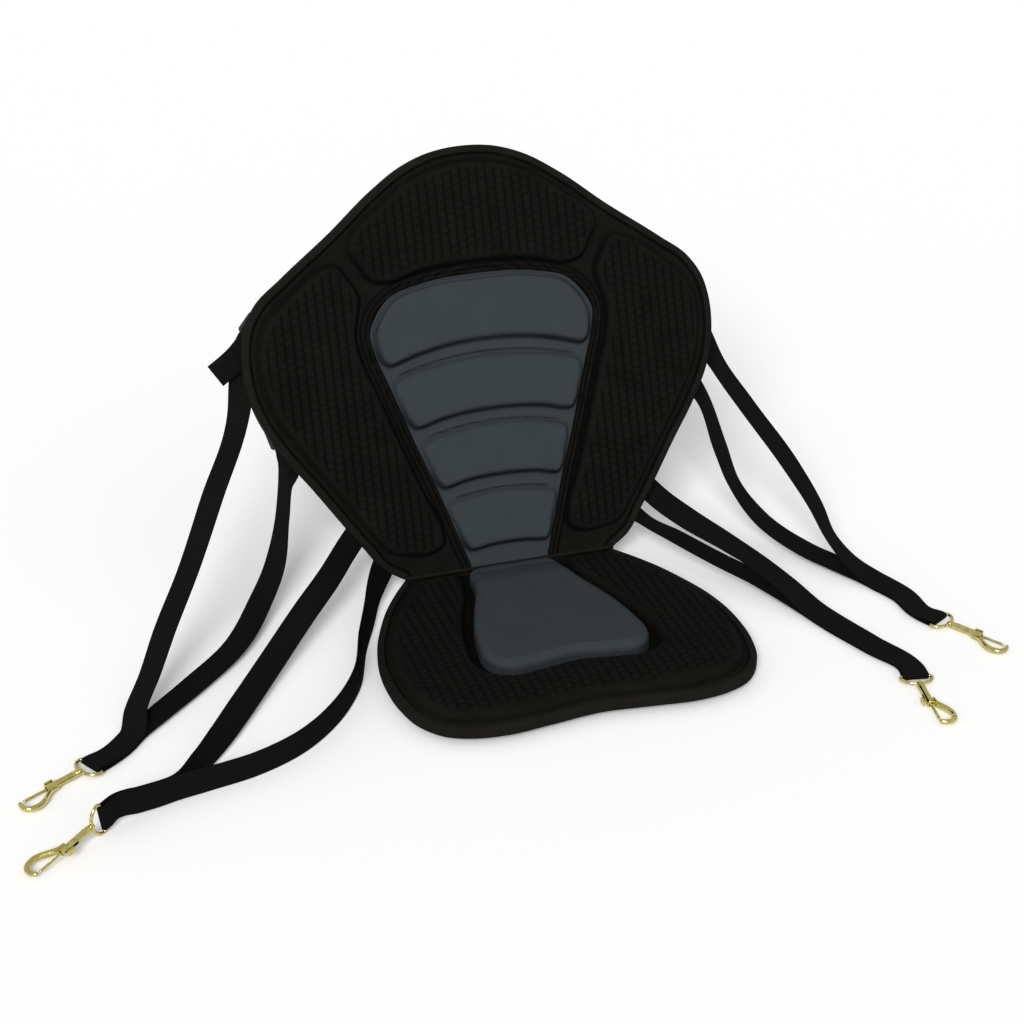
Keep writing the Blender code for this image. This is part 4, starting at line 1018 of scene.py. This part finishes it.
def makeGreySeat():
    # a puffed cushion: round edges, a low crown and a soft crease near its rear seam
    p = seatPlan
    line = smoothLine(overCentre(p["grey"])[::-1], step=1.5)
    cut, back = nearestTo(line, (-77, -194), (77, -194)), nearestTo(line, (-45, -8), (45, -8))
    left, front, right = line[back[0]:cut[0] + 1], line[cut[0]:cut[1] + 1], line[cut[1]:back[1] + 1]
    rear = np.vstack([line[back[1]:], line[1:back[0] + 1]])[::-1]
    grid = fourSided(front, right, rear, left[::-1], p["greyGrid"])
    x, y = grid[..., 0], grid[..., 1]
    # the rear end is cut straight and runs under the backrest, so only its sides and front are rounded
    ahead = line[line[:, 1] < -13.5]
    depth = np.clip(depthInside(np.vstack([ahead, (48, 60), (-48, 60)]), x, y), 0, 99)
    height = p["greyRim"] + (p["greyTop"] - p["greyRim"]) * shoulder(depth, 10) ** 0.9
    height += 0.9 * (1 - np.exp(-depth / 22)) - 1.4 * ridge(y, -14, 2.4) - 8 * ease(y, -48, 0)
    height += 0.35 * np.sin(x / 19 + 1) * np.sin(y / 27) * ease(depth, 5, 18) - 0.5 * ridge(depth, 5.5, 2.0)
    # painted shade in the rear crease and round the cushion's edge
    seamAndPaintedShade = 0.9 * ridge(y, -14, 1.8) + 0.5 * ridge(depth, 0, 1.5)
    part = slab(grid, height, p["floor"] + 0.05, together, np.clip(seamAndPaintedShade, 0, 1))
    piece = makePiece("seat_greyPad", [part], greyCloth, stands=("seat_centre_pad",), sharp=80)


makeBackrestFront()
makeGreyBack()
makeSeatTop()
makeGreySeat()
print("pads made")


# Covers, edge tapes, fold and lock tabs

trimPlan = {
    # the tape: its thickness, reach over a panel, slack, room at the rim and rounding
    "lip": 1.0, "reach": 7.0, "fit": 0.3, "room": 1.2, "bend": 2.6,
    "stitches": (4.2, 2.9, 0.28),    # pitch, length and thread radius
    "seamAndPaintedShade": 5.0,
    "rearFront": -11.6, "rearBack": -12.8, "seatCover": 2.3, "edgeRise": 6.0,
}


def tapeRings(path, low, high):
    # the tape's C section carried round the panel, its outside a flattened half round
    lip, reach, fit = trimPlan["lip"], trimPlan["reach"], trimPlan["fit"]
    bottom, top = low - fit - lip, high + fit + lip
    inner, bend = trimPlan["room"], trimPlan["bend"]
    turn = np.linspace(0, np.pi / 2, 7)
    upper = [(bend - bend * np.sin(t), top - bend + bend * np.cos(t)) for t in turn]
    lower = [(bend - bend * np.cos(t), bottom + bend - bend * np.sin(t)) for t in turn]
    section = [(reach, high + fit + 0.05), (reach, top - 0.45), (reach - 0.5, top - 0.05), (reach - 2, top - 0.1),
               (3.6, top)]
    section += upper + lower + [(3.6, bottom), (reach - 2, bottom + 0.1), (reach - 0.5, bottom + 0.05),
                                (reach, bottom + 0.45), (reach, low - fit), (inner, low - fit), (inner, high + fit)]
    section = np.array(section)
    flat = path[:, None] + inwardOf(path)[:, None] * section[None, :, :1]
    rings = np.concatenate([flat, np.broadcast_to(section[None, :, 1:], (*flat.shape[:2], 1))], -1)
    return rings, together(runOf(path)[:, None], runOf(section))


def makeTape(name, outline, low, high, place, normal, stands):
    path = smoothLine(overCentre(outline), step=1.8)
    if path[len(path) // 2, 1] < 0:
        path = path[::-1]
    rings, uv = tapeRings(path, low, high)
    makePiece(name, [carried(place(*np.moveaxis(rings, -1, 0)), uv)], edgeTape, stands=stands, sharp=60)
    seamAndPaintedShade, rows = insetLine(path, trimPlan["seamAndPaintedShade"]), []
    beyond = trimPlan["fit"] + trimPlan["lip"] - 0.05
    for level, up in ((high + beyond, 1), (low - beyond, -1)):
        line = place(seamAndPaintedShade[:, 0], seamAndPaintedShade[:, 1], np.full(len(seamAndPaintedShade), level))
        rows.append(stitchRow(line, np.tile(normal * up, (len(line), 1)), *trimPlan["stitches"]))
    makePiece(name + "_stitches", rows, thread)


def makeRearCover():
    # plain cloth over the foam with shallow puckers, caught under the edge tape
    t = trimPlan
    grid, x, y, depth = panelGrid(backPlan["outline"], 3.5)
    pucker = 0.12 * np.sin(x / 9 + 1.5 * np.sin(y / 21)) * np.sin(y / 13) * ease(depth, 8, 20)

    def behind(across, up, out):
        return fromBack(-across, up, -out)

    out = -t["rearBack"] - 0.12 + pucker - 0.1 * ridge(depth, 9, 2)
    part = slab(grid, out, -t["rearFront"], behind)
    makePiece("backrest_rearCloth", [part], blackCloth, stands=("backrest_rear_cover",))


def makeUnderside():
    # flat where the seat stands, and rising towards the edge tape, with the foam that lies on it
    t = trimPlan
    grid, _, y, depth = panelGrid(seatPlan["outline"], 4.5)

    def below(across, front, out):
        return together(-across, front, -out)

    def rise(inside):
        return t["edgeRise"] * (1 - ease(inside, 8.0, 30.0))

    lip = 1.3 * (1 - ease(np.minimum(depth, 1.2 - y), 7.6, 8.4))
    part = slab(grid, -rise(depth) - lip, -rise(depth) - t["seatCover"], below)
    makePiece("seat_undersideCloth", [part], blackCloth, stands=("seat_underside_cover",))
    grid, _, y, depth = panelGrid(seatPlan["outline"], 6.0, 13.0)
    y -= 8 * ease(y, -60, 0)
    part = slab(grid, -rise(depth) - t["seatCover"] - 0.3, np.full(depth.shape, -seatPlan["low"] + 0.3), below)
    makePiece("seat_foamCore", [part], foam, stands=("seat_foam_core",))


def makeFold():
    # the sewn strip's section carried along the fold, its bead rounded and its surface gently uneven
    behind, web, gap = trimPlan["rearBack"] - 0.3, 1.2, 0.3
    topFront, topRear, footFront, footRear, leadTop, leadLow = (fromBack(0, up, out)[1:] for up, out in (
        (20, behind), (20, behind - web), (-gap, behind), (-gap - web, behind - web), (-gap, 0), (-gap - web, 0)))
    height = panels["foldHeight"]
    turn = np.linspace(np.radians(120), np.radians(255), 9)
    bead = np.stack([-2.3 + 2.6 * np.cos(turn), height + 0.4 + 2.6 * np.sin(turn)], 1)
    section = np.vstack([topFront, footFront, leadTop, bead, (0, height - 3), (0, 1), (web, 1),
                         (web, leadLow[1] - 0.7), footRear, topRear])
    x = np.linspace(-112.5, 112.5, 190)
    wave = 0.12 * np.sin(x / 6.5) * np.sin(x / 23)
    rings = together(x[:, None], *section.T)
    rings[:, 3:3 + len(bead), 1] += wave[:, None]
    part = carried(rings, together(x[:, None], np.arange(len(section)) * 2.0))
    makePiece("fold_tape", [part], edgeTape, stands=("fold_strip",), sharp=55)
    line = np.stack([x, np.full(len(x), -3.85), np.full(len(x), height + 2.45)], 1)
    up = np.tile((0, -0.6, 0.8), (len(x), 1))
    makePiece("fold_stitches", [stitchRow(line, up, *trimPlan["stitches"])], thread)


def makeLockTab(name, plan):
    # a folded tab of webbing round the lock's first bar, sewn to the rear cover by a box stitch
    spot = panelSpot(*plan)
    at, way, bar, thick = spot["at"], spot["way"], -strapPlan["lockPitch"], strapPlan["thick"]
    upper = spot["near"] - thick - 0.3
    run = [at(bar - along, spot["near"]) for along in (30, 22, 14, 4)]
    run += list(halfTurn(at(bar, spot["middle"]), way(0, 0, 1), way(1, 0, 0), strapPlan["turn"], 12))
    run += [at(bar - 5, spot["far"] + 0.4), at(bar - 15, upper), at(bar - 27, upper)]
    line = smoothLine(np.column_stack([run, np.tile(way(0, 1, 0), (len(run), 1))]), step=0.7)
    rings, uv = webbingRings(line)
    tabName = name.replace("lock_tab", "lockTab")
    makePiece(tabName, [carried(rings, uv)], webbing, stands=(name,))
    # the stitches lie on the tab's outer layer
    level = upper - thick / 2 + 0.1
    corners = [(bar - 25.5, -10), (bar - 16, -10), (bar - 16, 10), (bar - 25.5, 10), (bar - 25.5, -10)]
    rows = []
    for first, second in (*zip(corners, corners[1:]), (corners[0], corners[2]), (corners[1], corners[3])):
        line = np.array([at(along, level, aside) for along, aside in np.linspace(first, second, 12)])
        rows.append(stitchRow(line, np.tile(-way(0, 0, 1), (12, 1)), 2.6, 1.9, 0.25))
    makePiece(tabName + "_stitches", rows, thread)


makeRearCover()
makeUnderside()
leanNormal = fromBack(0, 0, 1) - fromBack(0, 0, 0)
makeTape("backrest_edgeTape", backPlan["outline"], trimPlan["rearBack"], 0, fromBack, leanNormal,
         ("backrest_edge_binding",))
makeTape("seat_edgeTape", seatPlan["outline"], 1.3 + trimPlan["edgeRise"], seatPlan["flange"], together,
         np.array([0, 0, 1.0]), ("seat_edge_binding",))
makeFold()
for place, plan in straps.items():
    makeLockTab(place + "_lock_tab", plan["upperSpot"])
    if "lowerTail" in plan:
        makeLockTab(place + "_second_lock_tab", plan["lowerSpot"])
print("covers, tapes and tabs made")

# finishes of the pieces that keep their own shape
for name, node in frame["nodes"].items():
    finish = plastic if "ladder_lock" in name else foam if "foam_core" in name else None
    if finish:
        for slot in node.material_slots:
            slot.material = finish
